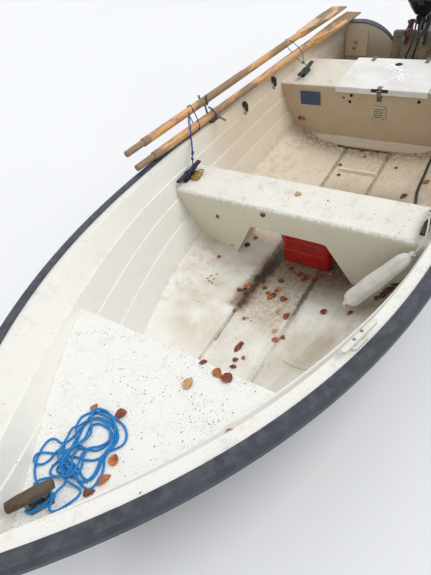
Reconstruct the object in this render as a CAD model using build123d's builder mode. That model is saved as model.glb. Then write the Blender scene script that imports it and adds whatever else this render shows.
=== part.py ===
"""Open rowing boat with a small outboard motor, afloat and moored empty.

All sizes are millimetres. The origin lies on the centre line in the waterline,
+X points to the bow, +Y to port and +Z up.
"""
import os
from math import atan2, cos, degrees, hypot, pi, radians, sin, tan

from build123d import *

os.makedirs("parts", exist_ok=True)

# plan of the gunwale: inner edge of the rub rail
HALF_BREADTH = 740.0
X_WIDEST = -480.0
BOW_RUN = 2329.0
BOW_POWER = 3.14
X_TRANSOM = -2100.0
TRANSOM_HALF = 570.0
AFT_FILL_X = -900.0
AFT_FILL = 0.65

# sheer height over the water
SHEER_MID = 460.0
SHEER_SLOPE = 0.0823
SHEER_CURVE = 2.02e-5

# keel line and the floor of the moulding inside
KEEL_Z = -130.0
KEEL_RISE_AFT = 38.0
KEEL_STATIONS = (-2050.0, -1500.0, -900.0, -300.0, 300.0, 700.0, 900.0, 1000.0, 1100.0, 1200.0, 1300.0)
KEEL_DEEP = 42.0
KEEL_END = 1380.0
KEEL_FADE = 900.0
KEEL_HALF = 15.0
STEM_RISE = 700.0
STEM_RUN = 1860.0
STEM_POWER = 6
SOLE_Z = -90.0
SOLE_RISE_AFT = 42.0
SOLE_RISE_BOW = 620.0

# thicknesses
SHELL = 8.0
SHELL_GAP = 0.5
LAP = 7.0
EDGE_OUT = 20.0
FLANGE = 42.0
RAIL_OUT = 50.0
RAIL_CAP = 8.0
RAIL_DROP = 38.0
RAIL_GAP = 2.2
FIT_GAP = 1.0

# transom: tilted plane through its top corner
RAKE = 10.0
TRANSOM_OUT = 20.0
TRANSOM_THICK = 40.0
X_RUNOUT = -2200.0
TRANSOM_TOP = 381.0
TRANSOM_X = X_TRANSOM - TRANSOM_OUT
NOTCH_HALF = 165.0
NOTCH_Z = 258.0
SHOULDER_HALF = 400.0
SHOULDER_MID = 276.0
SHOULDER_MID_Z = 345.0
PAD_HALF = 172.0
PAD_TOP = 318.0
PAD_BOARD = 12.0

# floor grooves
GROOVE_Y = 145.0
GROOVE_WIDE = 14.0
GROOVE_DEEP = 8.0

# cuts between the parts of the moulding
FLOOR_HALF = 170.0
MOULDING_LONG = 6000.0

# rowlock sockets
SOCKET_X = -500.0
SOCKET_IN = 22.0
SOCKET_R = 6.6
SOCKET_TUBE = 11.0
SOCKET_DEEP = 46.0

# seats
BOW_SEAT_X = 960.0
BOW_SEAT_Z = 430.0
SEAT_SKIN = 32.0
THWART_FORE = 55.0
THWART_AFT = -210.0
THWART_Z = 320.0
TUNNEL_TOP_HALF = 205.0
TUNNEL_FOOT_HALF = 352.0
TUNNEL_TOP_Z = 178.0
LOCKER_FORE = -1208.0
LOCKER_AFT = -1605.0
LOCKER_Z = 320.0
LOCKER_WALL = 28.0
LID_STARBOARD = -255.0
LID_PORT = 317.0
LID_SIDE_GAP = 5.0
LID_THICK = 22.0
LID_TOP = 328.0

# outboard motor
STEER_X = -2207.0
PIVOT_X = -2157.3
PIVOT_Z = 357.1
PROP_Z = -190.0
PROP_R = 92.0


def edge_half(x):
    """Half breadth of the rail's inner edge at a station."""
    if x > X_WIDEST:
        return HALF_BREADTH * (1 - ((x - X_WIDEST) / BOW_RUN) ** BOW_POWER)
    aft = (X_WIDEST - x) / (X_WIDEST - X_TRANSOM)
    return HALF_BREADTH - (HALF_BREADTH - TRANSOM_HALF) * aft * aft


def edge_slope(x):
    """Slope of the rail's inner edge in plan."""
    return (edge_half(x + 1) - edge_half(x - 1)) / 2


def edge_offset(x, out):
    """Point of the plan curve moved outwards by a distance."""
    slope = edge_slope(x)
    size = hypot(slope, 1)
    return x - out * slope / size, edge_half(x) + out / size


def sheer(x):
    return SHEER_MID + SHEER_SLOPE * x + SHEER_CURVE * x * x


def sheer_turn(x):
    """Pitch of the sheer at a station, in degrees."""
    return degrees(atan2(SHEER_SLOPE + 2 * SHEER_CURVE * x, 1))


def deck_place(x, inside, side):
    """Place on top of the gunwale flange, a distance inside the rail's inner edge."""
    turn = side * degrees(atan2(edge_slope(x), 1))
    return Location((x, side * (edge_half(x) - inside), sheer(x)), (0, -sheer_turn(x), turn))


def keel(x):
    if x < 0:
        return KEEL_Z + KEEL_RISE_AFT * (x / X_TRANSOM) ** 2
    return KEEL_Z + STEM_RISE * (x / STEM_RUN) ** STEM_POWER


def sole(x):
    if x < 0:
        return SOLE_Z + SOLE_RISE_AFT * (x / X_TRANSOM) ** 2
    return SOLE_Z + SOLE_RISE_BOW * (x / STEM_RUN) ** STEM_POWER


def bow_blend(x):
    """0 aft of amidships, 1 at the stem."""
    return min(1.0, max(0.0, (x - 100.0) / 1600.0)) ** 1.3


# knuckles of a half section: breadth and height fractions amidships and at the bow
HULL_KNUCKLES = (
    (0.63, 0.075, 0.22, 0.16),
    (0.84, 0.27, 0.50, 0.42),
    (0.94, 0.52, 0.72, 0.66),
    (0.985, 0.78, 0.88, 0.85),
)
LINER_KNUCKLES = (
    (0.50, 0.055, 0.17, 0.10),
    (0.81, 0.218, 0.38, 0.33),
    (0.885, 0.43, 0.50, 0.52),
    (0.935, 0.64, 0.62, 0.69),
    (0.972, 0.83, 0.75, 0.86),
)
AFT_STATIONS = (X_RUNOUT, -1700.0, -1200.0, -700.0, -200.0, 300.0, 800.0, 1200.0)
HULL_STATIONS = AFT_STATIONS + (1500.0, 1700.0, 1835.0)
CORE_STATIONS = AFT_STATIONS + (1480.0, 1660.0, 1775.0)
CAVITY_STATIONS = AFT_STATIONS + (1480.0, 1650.0, 1770.0)


def knuckle(row, x, half, low, high):
    """Breadth and height of one knuckle at a station."""
    w = bow_blend(x)
    y = half * (row[0] * (1 - w) + row[2] * w)
    z = low + (high - low) * (row[1] * (1 - w) + row[3] * w)
    aft = min(1.0, max(0.0, (AFT_FILL_X - x) / (AFT_FILL_X - X_TRANSOM)))
    return y + (half - y) * AFT_FILL * aft * min(1.0, 0.35 + 2 * row[1]), z


def hull_half(x, half, high):
    """Outer half section from the keel to the sheer, plank laps included."""
    low = keel(x)
    points = [(16.0, low)]
    for n, row in enumerate(HULL_KNUCKLES):
        y, z = knuckle(row, x, half, low, high)
        if n:
            points.append((y - LAP, z))
        points.append((y, z))
    points.append((half, high))
    return points


def core_half(x, half, high, inset, above):
    """Half section inside the shell, without laps."""
    low = keel(x)
    points = [(5.0, low + inset)]
    for n, row in enumerate(HULL_KNUCKLES):
        y, z = knuckle(row, x, half, low, high)
        points.append((max(y - inset - LAP, 9.0 + 6 * n), z + inset * (1 - 0.3 * n)))
    points.append((half - inset, high))
    if above:
        points.append((half - inset, high + above))
    return points


def cavity_half(x, half, high, gap):
    """Half section of the space inside the moulding, with its inner laps."""
    low = sole(x)
    w = bow_blend(x)
    points = [((GROOVE_Y + 10) * (1 - w) + 8 * w, low + gap)]
    for n, row in enumerate(LINER_KNUCKLES):
        y, z = knuckle(row, x, half, low, high)
        z = z + gap * (1 - 0.2 * n)
        if n < 2:
            points.append((y - gap, z))
        else:
            points.append((y - LAP - gap, z))
            points.append((y - gap, z))
    points.append((half - gap, high))
    points.append((half - gap, high + 70.0))
    return points


def ring(half_points):
    """Closed list of points from a starboard-port symmetric half section."""
    return half_points + [(-y, z) for y, z in reversed(half_points)]


def station_plane(x):
    return Plane(origin=(x, 0, 0), x_dir=(0, 1, 0), z_dir=(1, 0, 0))


def side_plane(y=0.0):
    """Plane seen from the side: first axis forward, second up, facing starboard."""
    return Plane(origin=(0, y, 0), x_dir=(1, 0, 0), z_dir=(0, -1, 0))


def transom_plane(y=0.0):
    """First axis aft from the transom's outer face, second up along it."""
    a = radians(RAKE)
    return Plane(origin=(TRANSOM_X, y, TRANSOM_TOP), x_dir=(-cos(a), 0, -sin(a)), z_dir=(0, 1, 0))


def transom_cut(forward):
    """Place for a box whose forward face is the raked transom plane."""
    return Location((TRANSOM_X + forward, 0, TRANSOM_TOP), (0, -RAKE, 0))


# tool solids for the shell and the moulding
with BuildPart() as core_tool:
    for x in CORE_STATIONS:
        xs, half = edge_offset(x, EDGE_OUT)
        with BuildSketch(station_plane(xs - SHELL * (x > 1500))):
            with BuildLine():
                Polyline(*ring(core_half(x, half, sheer(x), SHELL, 40.0)), close=True)
            make_face()
    loft()
    with Locations(transom_cut(SHELL)):
        Box(600, 3000, 3000, align=(Align.MAX, Align.CENTER, Align.CENTER), mode=Mode.SUBTRACT)

with BuildPart() as cavity:
    for x in CAVITY_STATIONS:
        xs, half = edge_offset(x, -FLANGE)
        with BuildSketch(station_plane(xs)):
            with BuildLine():
                Polyline(*ring(cavity_half(x, half, sheer(x), 0.0)), close=True)
            make_face()
    loft()
    with Locations(transom_cut(TRANSOM_THICK)):
        Box(600, 3000, 3000, align=(Align.MAX, Align.CENTER, Align.CENTER), mode=Mode.SUBTRACT)

with BuildPart() as cavity_fit:
    for x in CAVITY_STATIONS:
        xs, half = edge_offset(x, -FLANGE)
        with BuildSketch(station_plane(xs)):
            with BuildLine():
                Polyline(*ring(cavity_half(x, half, sheer(x), FIT_GAP)), close=True)
            make_face()
    loft()
    with Locations(transom_cut(TRANSOM_THICK + FIT_GAP)):
        Box(600, 3000, 3000, align=(Align.MAX, Align.CENTER, Align.CENTER), mode=Mode.SUBTRACT)

def transom_outline(lift):
    """Closed outline of the space above the transom's top edge, raised by a distance."""
    top = TRANSOM_TOP + lift
    notch = NOTCH_Z + lift
    Line((-900, top), (-SHOULDER_HALF, top))
    ThreePointArc((-SHOULDER_HALF, top), (-SHOULDER_MID, SHOULDER_MID_Z + lift), (-NOTCH_HALF, notch))
    Line((-NOTCH_HALF, notch), (NOTCH_HALF, notch))
    ThreePointArc((NOTCH_HALF, notch), (SHOULDER_MID, SHOULDER_MID_Z + lift), (SHOULDER_HALF, top))
    Line((SHOULDER_HALF, top), (900, top))
    Polyline((900, top), (900, 900), (-900, 900), (-900, top))


# everything above the curved transom top and its motor notch
with BuildPart() as notch_tool:
    with BuildSketch(station_plane(X_TRANSOM)):
        with BuildLine():
            transom_outline(0.0)
        make_face()
    extrude(amount=60, both=True)

# outer shell with the keel below it
with BuildPart() as hull:
    for x in HULL_STATIONS:
        xs, half = edge_offset(x, EDGE_OUT)
        with BuildSketch(station_plane(xs)):
            with BuildLine():
                Polyline(*ring(hull_half(x, half, sheer(x))), close=True)
            make_face()
    loft()
    add(core_tool.part, mode=Mode.SUBTRACT)
    with BuildSketch(side_plane()):
        with BuildLine():
            top = [(x, keel(x) + 2) for x in KEEL_STATIONS]
            low = [(x, keel(x) - KEEL_DEEP * min(1.0, (KEEL_END - x) / KEEL_FADE)) for x in KEEL_STATIONS]
            Polyline(*top, *reversed(low), close=True)
        make_face()
    extrude(amount=KEEL_HALF, both=True)
    with Locations(transom_cut(0)):
        Box(600, 3000, 3000, align=(Align.MAX, Align.CENTER, Align.CENTER), mode=Mode.SUBTRACT)
    add(notch_tool.part, mode=Mode.SUBTRACT)
hull.part.label = "hull"
export_step(hull.part, "parts/hull.step")

# inner moulding: foam-filled, with the flange on top and two floor grooves
with BuildPart() as moulding:
    for x in CORE_STATIONS:
        xs, half = edge_offset(x, EDGE_OUT)
        with BuildSketch(station_plane(xs - (SHELL + SHELL_GAP) * (x > 1500))):
            with BuildLine():
                Polyline(*ring(core_half(x, half, sheer(x), SHELL + SHELL_GAP, 0.0)), close=True)
            make_face()
    loft()
    add(cavity.part, mode=Mode.SUBTRACT)
    with Locations(transom_cut(SHELL + SHELL_GAP)):
        Box(600, 3000, 3000, align=(Align.MAX, Align.CENTER, Align.CENTER), mode=Mode.SUBTRACT)
    add(notch_tool.part, mode=Mode.SUBTRACT)
    for side in (-1, 1):
        with BuildSketch(side_plane(side * GROOVE_Y)):
            with BuildLine():
                floor = [(x, sole(x) + 5 - GROOVE_DEEP) for x in (-1190, -700, -200, 300, 740)]
                Polyline(*floor, (740, sole(740) + 40), (-1190, sole(-1190) + 40), close=True)
            make_face()
        extrude(amount=GROOVE_WIDE / 2, both=True, mode=Mode.SUBTRACT)
    for side in (-1, 1):
        with BuildSketch(Plane(deck_place(SOCKET_X, SOCKET_IN, side)).offset(30)):
            Circle(SOCKET_TUBE + 0.3)
        extrude(amount=-32 - SOCKET_DEEP, mode=Mode.SUBTRACT)

# the moulding in three: a strip of floor, the sides, and the sides at the thwart
with BuildPart() as liner_floor:
    add(moulding.part)
    Box(MOULDING_LONG, 2 * FLOOR_HALF, MOULDING_LONG, mode=Mode.INTERSECT)
liner_floor.part.label = "liner_floor"
export_step(liner_floor.part, "parts/liner_floor.step")

with BuildPart() as liner_sides:
    add(moulding.part)
    Box(MOULDING_LONG, 2 * FLOOR_HALF, MOULDING_LONG, mode=Mode.SUBTRACT)
    with Locations(((THWART_FORE + THWART_AFT) / 2, 0, 0)):
        Box(THWART_FORE - THWART_AFT, MOULDING_LONG, MOULDING_LONG, mode=Mode.SUBTRACT)
liner_sides.part.label = "liner_sides"
export_step(liner_sides.part, "parts/liner_sides.step")

with BuildPart() as liner_sides_mid:
    add(moulding.part)
    Box(MOULDING_LONG, 2 * FLOOR_HALF, MOULDING_LONG, mode=Mode.SUBTRACT)
    with Locations(((THWART_FORE + THWART_AFT) / 2, 0, 0)):
        Box(THWART_FORE - THWART_AFT, MOULDING_LONG, MOULDING_LONG, mode=Mode.INTERSECT)
liner_sides_mid.part.label = "liner_sides_mid"
export_step(liner_sides_mid.part, "parts/liner_sides_mid.step")

# black rub rail round the gunwale
with BuildPart() as rub_rail:
    for x in HULL_STATIONS:
        xs, half = edge_offset(x, RAIL_OUT)
        top = sheer(x) + RAIL_CAP
        low = sheer(x) - RAIL_DROP
        with BuildSketch(station_plane(xs)):
            with BuildLine():
                Polyline(*ring([(half - 12, low), (half, low + 12), (half, top - 14), (half - 14, top)]),
                    close=True)
            make_face()
    loft()
    for x in HULL_STATIONS:
        xs, half = edge_offset(x, EDGE_OUT + RAIL_GAP)
        with BuildSketch(station_plane(xs)):
            with BuildLine():
                Polyline(*ring([(half, sheer(x) - 90), (half, sheer(x) + RAIL_GAP)]), close=True)
            make_face()
    loft(mode=Mode.SUBTRACT)
    for x in HULL_STATIONS[:-1] + (1834.0,):
        with BuildSketch(station_plane(x)):
            with BuildLine():
                Polyline(*ring([(edge_half(x), sheer(x) - 20), (edge_half(x), sheer(x) + 60)]), close=True)
            make_face()
    loft(mode=Mode.SUBTRACT)
    with Locations(transom_cut(-8)):
        Box(600, 3000, 3000, align=(Align.MAX, Align.CENTER, Align.CENTER), mode=Mode.SUBTRACT)
rub_rail.part.label = "rub_rail"
export_step(rub_rail.part, "parts/rub_rail.step")

# bow seat: triangular top with a riser down to the floor
with BuildPart() as bow_seat:
    with BuildSketch(side_plane()):
        with BuildLine():
            Polyline(
                (BOW_SEAT_X, BOW_SEAT_Z), (1800, BOW_SEAT_Z), (1800, BOW_SEAT_Z - SEAT_SKIN),
                (BOW_SEAT_X - 6 + SEAT_SKIN, BOW_SEAT_Z - SEAT_SKIN), (BOW_SEAT_X - 18 + SEAT_SKIN, -200),
                (BOW_SEAT_X - 18, -200), close=True)
        make_face()
    extrude(amount=800, both=True)
    fillet(bow_seat.edges().filter_by(Axis.Y).sort_by(Axis.Z)[-2:].sort_by(Axis.X)[0], 12)
    add(cavity_fit.part, mode=Mode.INTERSECT)
bow_seat.part.label = "bow_seat"
export_step(bow_seat.part, "parts/bow_seat.step")

# low foot bar across the floor behind the thwart
FOOT_BAR_X = -905.0
FOOT_BAR_Y = 18.0
with BuildPart() as floor_bar:
    with BuildSketch(Plane.XY.offset(sole(FOOT_BAR_X) + 0.6)):
        with Locations((FOOT_BAR_X, FOOT_BAR_Y)):
            SlotOverall(250, 30, rotation=90)
    extrude(amount=17, taper=20)
floor_bar.part.label = "floor_bar"
export_step(floor_bar.part, "parts/floor_bar.step")

# middle thwart: foam-filled box seat standing on the floor, open tunnel through it
with BuildPart() as mid_thwart:
    with BuildSketch(side_plane()):
        with BuildLine():
            Polyline(
                (THWART_AFT, THWART_Z), (THWART_FORE, THWART_Z), (THWART_FORE - 30, -200),
                (THWART_AFT + 30, -200), close=True)
        make_face()
        fillet(vertices().sort_by(Axis.Y)[-2:], 22)
    extrude(amount=900, both=True)
    add(cavity_fit.part, mode=Mode.INTERSECT)
    with BuildSketch(station_plane(-80)):
        with BuildLine():
            Polyline(
                (-TUNNEL_FOOT_HALF - 18, -120), (-TUNNEL_TOP_HALF, TUNNEL_TOP_Z),
                (TUNNEL_TOP_HALF, TUNNEL_TOP_Z), (TUNNEL_FOOT_HALF + 18, -120), close=True)
        make_face()
        fillet(vertices().sort_by(Axis.Y)[-2:], 30)
    extrude(amount=400, both=True, mode=Mode.SUBTRACT)
mid_thwart.part.label = "mid_thwart"
export_step(mid_thwart.part, "parts/mid_thwart.step")

# stern seat: box across the boat with an open locker under the lid
with BuildPart() as stern_seat:
    with BuildSketch(side_plane()):
        with BuildLine():
            Polyline(
                (LOCKER_AFT, LOCKER_Z), (LOCKER_FORE, LOCKER_Z), (LOCKER_FORE + 6, -20),
                (LOCKER_FORE + 40, -66), (LOCKER_FORE + 60, -200), (LOCKER_AFT, -200), close=True)
        make_face()
        fillet(vertices().sort_by(Axis.Y)[-2:], 14)
    extrude(amount=900, both=True)
    add(cavity_fit.part, mode=Mode.INTERSECT)
    # locker space and the sunk ledge that carries the lid
    with Locations((LOCKER_AFT + LOCKER_WALL, LID_STARBOARD + 30, -150)):
        Box(LOCKER_FORE - LOCKER_AFT - 2 * LOCKER_WALL, LID_PORT - LID_STARBOARD - 60, 800,
            align=(Align.MIN, Align.MIN, Align.MIN), mode=Mode.SUBTRACT)
    with Locations((LOCKER_AFT - 50, LID_STARBOARD, LID_TOP - LID_THICK - 6)):
        Box(LOCKER_FORE - LOCKER_AFT + 100, LID_PORT - LID_STARBOARD, 200,
            align=(Align.MIN, Align.MIN, Align.MIN), mode=Mode.SUBTRACT)
    # holes in the front: column label = y, z, radius
    for y, z, radius in ((-198, 249, 9), (-152, 263, 5), (-158, 223, 5), (265, 255, 5)):
        with Locations(Location((LOCKER_FORE, y, z), (0, 90, 0))):
            Cylinder(radius, 160, mode=Mode.SUBTRACT)
    # vent opening behind the grille
    with Locations((LOCKER_FORE, 33, 168)):
        Box(120, 66, 66, mode=Mode.SUBTRACT)
stern_seat.part.label = "stern_seat"
export_step(stern_seat.part, "parts/stern_seat.step")

LID_FORE = LOCKER_FORE + 15
LID_AFT = LOCKER_AFT - 17
LID_HOLE_X = -1537.0
LID_HOLE_Y = 41.0
LID_HOLE_R = 24.0
with BuildPart() as locker_lid:
    with BuildSketch(side_plane()):
        with BuildLine():
            Polyline(
                (LID_AFT, LID_TOP), (LID_FORE, LID_TOP), (LID_FORE, LID_TOP - 36),
                (LID_FORE - 8, LID_TOP - 36),
                (LID_FORE - 8, LID_TOP - LID_THICK), (LID_AFT, LID_TOP - LID_THICK), close=True)
        make_face()
        fillet(vertices().sort_by(Axis.Y)[-2:], 7)
    extrude(amount=400, both=True)
    with Locations((LID_FORE + 50, LID_STARBOARD + LID_SIDE_GAP, 0)):
        Box(700, 700, 1000, align=(Align.MAX, Align.MAX, Align.CENTER), mode=Mode.SUBTRACT)
    with Locations((LID_FORE + 50, LID_PORT - LID_SIDE_GAP, 0)):
        Box(700, 700, 1000, align=(Align.MAX, Align.MIN, Align.CENTER), mode=Mode.SUBTRACT)
    with BuildSketch(Plane.XY.offset(LID_TOP)):
        with Locations((LID_HOLE_X, LID_HOLE_Y)):
            Circle(LID_HOLE_R)
    extrude(amount=-60, mode=Mode.SUBTRACT)
locker_lid.part.label = "locker_lid"
export_step(locker_lid.part, "parts/locker_lid.step")

HINGE_X = LID_AFT - 8
HINGE_Z = LID_TOP - 9
HINGE_PIN = 3.0
HINGE_BARREL = 6.5
HINGE_YS = (-140.0, 202.0)
with BuildPart() as lid_hinges:
    for y in HINGE_YS:
        with Locations(Location((HINGE_X, y, HINGE_Z), (90, 0, 0))):
            Cylinder(HINGE_PIN, 62)
        for end in (-1, 1):
            with Locations(Location((HINGE_X, y + end * 22, HINGE_Z), (90, 0, 0))):
                Cylinder(HINGE_BARREL, 18)
            with Locations((HINGE_X, y + end * 22, HINGE_Z - 40)):
                Box(4, 18, 72)
        with Locations((HINGE_X + 2, y, HINGE_Z - 58)):
            Box(LOCKER_AFT - HINGE_X - 2.2, 62, 40, align=(Align.MIN, Align.CENTER, Align.CENTER))
        with Locations((HINGE_X, y, HINGE_Z - 58)):
            Box(4, 62, 40)
lid_hinges.part.label = "lid_hinges"
export_step(lid_hinges.part, "parts/lid_hinges.step")

with BuildPart() as lid_hinge_leaves:
    for y in HINGE_YS:
        with Locations(Location((HINGE_X, y, HINGE_Z), (90, 0, 0))):
            Cylinder(HINGE_BARREL, 24)
        with Locations((HINGE_X, y, LID_TOP + 2)):
            Box(60, 24, 3, align=(Align.MIN, Align.CENTER, Align.CENTER))
        with Locations((HINGE_X, y, LID_TOP - 2)):
            Box(5, 24, 9, align=(Align.MIN, Align.CENTER, Align.CENTER))
        with Locations(Location((HINGE_X, y, HINGE_Z), (90, 0, 0))):
            Cylinder(HINGE_PIN + 0.4, 40, mode=Mode.SUBTRACT)
lid_hinge_leaves.part.label = "lid_hinge_leaves"
export_step(lid_hinge_leaves.part, "parts/lid_hinge_leaves.step")

with BuildPart() as lid_hasp:
    with Locations((LID_FORE + 1.7, 31, LID_TOP - 24)):
        Box(3, 26, 40)
    with Locations((LID_FORE + 0.2, 31, LID_TOP + 1.7)):
        Box(34, 26, 3, align=(Align.MAX, Align.CENTER, Align.CENTER))
    with Locations((LID_FORE + 1.7, 31, LID_TOP - 1)):
        Box(3, 26, 9)
    with Locations((LID_FORE, 31, LID_TOP - 36)):
        Box(20, 14, 6, mode=Mode.SUBTRACT)
lid_hasp.part.label = "lid_hasp"
export_step(lid_hasp.part, "parts/lid_hasp.step")

with BuildPart() as hasp_staple:
    with Locations((LOCKER_FORE + 4.5, 31, 262)):
        Box(4, 30, 34)
    with Locations((LOCKER_FORE + 10, 31, 262)):
        Box(14, 6, 18)
        Box(30, 20, 8, mode=Mode.SUBTRACT)
hasp_staple.part.label = "hasp_staple"
export_step(hasp_staple.part, "parts/hasp_staple.step")

VENT_SIDE = 92.0
with BuildPart() as vent_grille:
    with BuildSketch(station_plane(LOCKER_FORE + 5)):
        with Locations((33, 168)):
            RectangleRounded(VENT_SIDE, VENT_SIDE, 14)
    extrude(amount=5)
    with BuildSketch(station_plane(LOCKER_FORE + 4)):
        with Locations((33, 168)):
            with GridLocations(0, 13, 1, 5):
                SlotOverall(64, 6)
    extrude(amount=10, mode=Mode.SUBTRACT)
vent_grille.part.label = "vent_grille"
export_step(vent_grille.part, "parts/vent_grille.step")

with BuildPart() as data_plate:
    with Locations((LOCKER_FORE + 4.5, -428, 230)):
        Box(2, 142, 92)
data_plate.part.label = "data_plate"
export_step(data_plate.part, "parts/data_plate.step")

# black edging along the curved top of the transom
with BuildPart() as transom_edging:
    with BuildSketch(station_plane(X_TRANSOM)):
        with BuildLine():
            transom_outline(0.6)
        make_face()
        with BuildLine():
            transom_outline(6.6)
        make_face(mode=Mode.SUBTRACT)
        for side in (-1, 1):
            with Locations((side * 760, 500)):
                Rectangle(400, 1000, mode=Mode.SUBTRACT)
        Rectangle(2 * NOTCH_HALF + 8, 2000, mode=Mode.SUBTRACT)
    extrude(amount=30, both=True)
    with Locations(transom_cut(-6)):
        Box(600, 3000, 3000, align=(Align.MAX, Align.CENTER, Align.CENTER), mode=Mode.SUBTRACT)
transom_edging.part.label = "transom_edging"
export_step(transom_edging.part, "parts/transom_edging.step")

# wooden block in the motor notch, with boards inside and outside the transom
PAD_T = PAD_TOP - TRANSOM_TOP
with BuildPart() as motor_pad:
    with BuildSketch(transom_plane()):
        with BuildLine():
            Polyline(
                (-TRANSOM_THICK - PAD_BOARD, PAD_T), (PAD_BOARD, PAD_T), (PAD_BOARD, PAD_T - 180),
                (0.4, PAD_T - 180),
                (0.4, NOTCH_Z - TRANSOM_TOP + 1), (-TRANSOM_THICK - 0.4, NOTCH_Z - TRANSOM_TOP + 1),
                (-TRANSOM_THICK - 0.4, PAD_T - 180), (-TRANSOM_THICK - PAD_BOARD, PAD_T - 180), close=True)
        make_face()
    extrude(amount=NOTCH_HALF - 6, both=True)
motor_pad.part.label = "motor_pad"
export_step(motor_pad.part, "parts/motor_pad.step")

# raised square plates inside the transom and the towing eyes they carry outside
with BuildPart() as transom_plates:
    for side in (-1, 1):
        with BuildSketch(transom_plane(side * 428)):
            with Locations((-TRANSOM_THICK - 4.8, -147)):
                Rectangle(8, 172)
        extrude(amount=84, both=True)
transom_plates.part.label = "transom_plates"
export_step(transom_plates.part, "parts/transom_plates.step")

EYE_ROD = 4.5
with BuildPart() as stern_eyes:
    for side in (-1, 1):
        with BuildSketch(transom_plane(side * 435)):
            with Locations((2.4, -150)):
                Rectangle(4, 66)
        extrude(amount=14, both=True)
        with BuildSketch(transom_plane(side * 435)):
            with BuildLine():
                Line((2, -138 + EYE_ROD), (20, -138 + EYE_ROD))
                ThreePointArc((20, -138 + EYE_ROD), (32.5 + EYE_ROD, -150), (20, -162 - EYE_ROD))
                Line((20, -162 - EYE_ROD), (2, -162 - EYE_ROD))
                Line((2, -162 - EYE_ROD), (2, -162 + EYE_ROD))
                Line((2, -162 + EYE_ROD), (20, -162 + EYE_ROD))
                ThreePointArc((20, -162 + EYE_ROD), (32.5 - EYE_ROD, -150), (20, -138 - EYE_ROD))
                Line((20, -138 - EYE_ROD), (2, -138 - EYE_ROD))
                Line((2, -138 - EYE_ROD), (2, -138 + EYE_ROD))
            make_face()
        extrude(amount=EYE_ROD, both=True)
stern_eyes.part.label = "stern_eyes"
export_step(stern_eyes.part, "parts/stern_eyes.step")

# outboard motor, fixed part: two clamp brackets with their screws
CLAMP_Y = 62.0
CLAMP_WIDE = 26.0
CLAMP_IN = -TRANSOM_THICK - PAD_BOARD
with BuildPart() as motor_clamp:
    for side in (-1, 1):
        with BuildSketch(transom_plane(side * CLAMP_Y)):
            with BuildLine():
                Polyline(
                    (PAD_BOARD + 0.5, PAD_T + 0.5), (PAD_BOARD + 0.5, PAD_T - 190),
                    (PAD_BOARD + 16, PAD_T - 205),
                    (PAD_BOARD + 34, PAD_T - 120), (PAD_BOARD + 34, PAD_T + 52), (PAD_BOARD + 6, PAD_T + 58),
                    (4, PAD_T + 40), (-30, PAD_T + 20), (CLAMP_IN - 34, PAD_T + 10),
                    (CLAMP_IN - 38, PAD_T - 74), (CLAMP_IN - 16, PAD_T - 74),
                    (CLAMP_IN - 14, PAD_T + 0.5), close=True)
            make_face()
            fillet(vertices().sort_by(Axis.Y)[-2:], 6)
        extrude(amount=CLAMP_WIDE / 2, both=True)
        tp = transom_plane(side * CLAMP_Y)
        with BuildSketch(Plane(origin=tp.from_local_coords((CLAMP_IN, PAD_T - 50, 0)), z_dir=-tp.x_dir)):
            Circle(6.3)
        extrude(amount=90, mode=Mode.SUBTRACT)
    with Locations(Location((PIVOT_X, 0, PIVOT_Z), (90, 0, 0))):
        Cylinder(17, 2 * CLAMP_Y + CLAMP_WIDE)
        Cylinder(60, 2 * CLAMP_Y - CLAMP_WIDE, mode=Mode.SUBTRACT)
        Cylinder(8, 2 * CLAMP_Y + CLAMP_WIDE + 12)
motor_clamp.part.label = "motor_clamp"
export_step(motor_clamp.part, "parts/motor_clamp.step")

# clamp screws: spindle, pressure disc and folding handle
with BuildPart() as clamp_screws:
    for side in (-1, 1):
        tp = transom_plane(side * CLAMP_Y)
        with BuildSketch(Plane(origin=tp.from_local_coords((CLAMP_IN - 0.5, PAD_T - 50, 0)),
                z_dir=-tp.x_dir)):
            Circle(19)
        extrude(amount=7)
        with BuildSketch(Plane(origin=tp.from_local_coords((CLAMP_IN - 6, PAD_T - 50, 0)), z_dir=-tp.x_dir)):
            Circle(6)
        extrude(amount=78)
        with BuildSketch(Plane(origin=tp.from_local_coords((CLAMP_IN - 76, PAD_T - 50, 0)), z_dir=-tp.x_dir)):
            SlotOverall(72, 14)
        extrude(amount=9)
clamp_screws.part.label = "clamp_screws"
export_step(clamp_screws.part, "parts/clamp_screws.step")

# swivel bracket: tilts on the clamp's pin, carries the steering tube
SWIVEL_TOP = 330.0
SWIVEL_FOOT = 120.0
SWIVEL_R = 25.0
STEER_R = 13.0
with BuildPart() as swivel_bracket:
    with Locations(Location((PIVOT_X, 0, PIVOT_Z), (90, 0, 0))):
        Cylinder(17, 60)
    with Locations((STEER_X, 0, SWIVEL_FOOT)):
        Cylinder(SWIVEL_R, SWIVEL_TOP - SWIVEL_FOOT, align=(Align.CENTER, Align.CENTER, Align.MIN))
    with BuildSketch(side_plane()):
        with BuildLine():
            Polyline(
                (PIVOT_X, PIVOT_Z + 14), (PIVOT_X - 14, PIVOT_Z + 8), (STEER_X, SWIVEL_TOP),
                (STEER_X, SWIVEL_FOOT + 20),
                (STEER_X + 34, SWIVEL_FOOT + 60), (PIVOT_X, PIVOT_Z - 14), close=True)
        make_face()
    extrude(amount=20, both=True)
    with Locations(Location((PIVOT_X, 0, PIVOT_Z), (90, 0, 0))):
        Cylinder(8.4, 100, mode=Mode.SUBTRACT)
    with Locations((STEER_X, 0, 0)):
        Cylinder(STEER_R + 0.4, 900, mode=Mode.SUBTRACT)
swivel_bracket.part.label = "swivel_bracket"
export_step(swivel_bracket.part, "parts/swivel_bracket.step")

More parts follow.
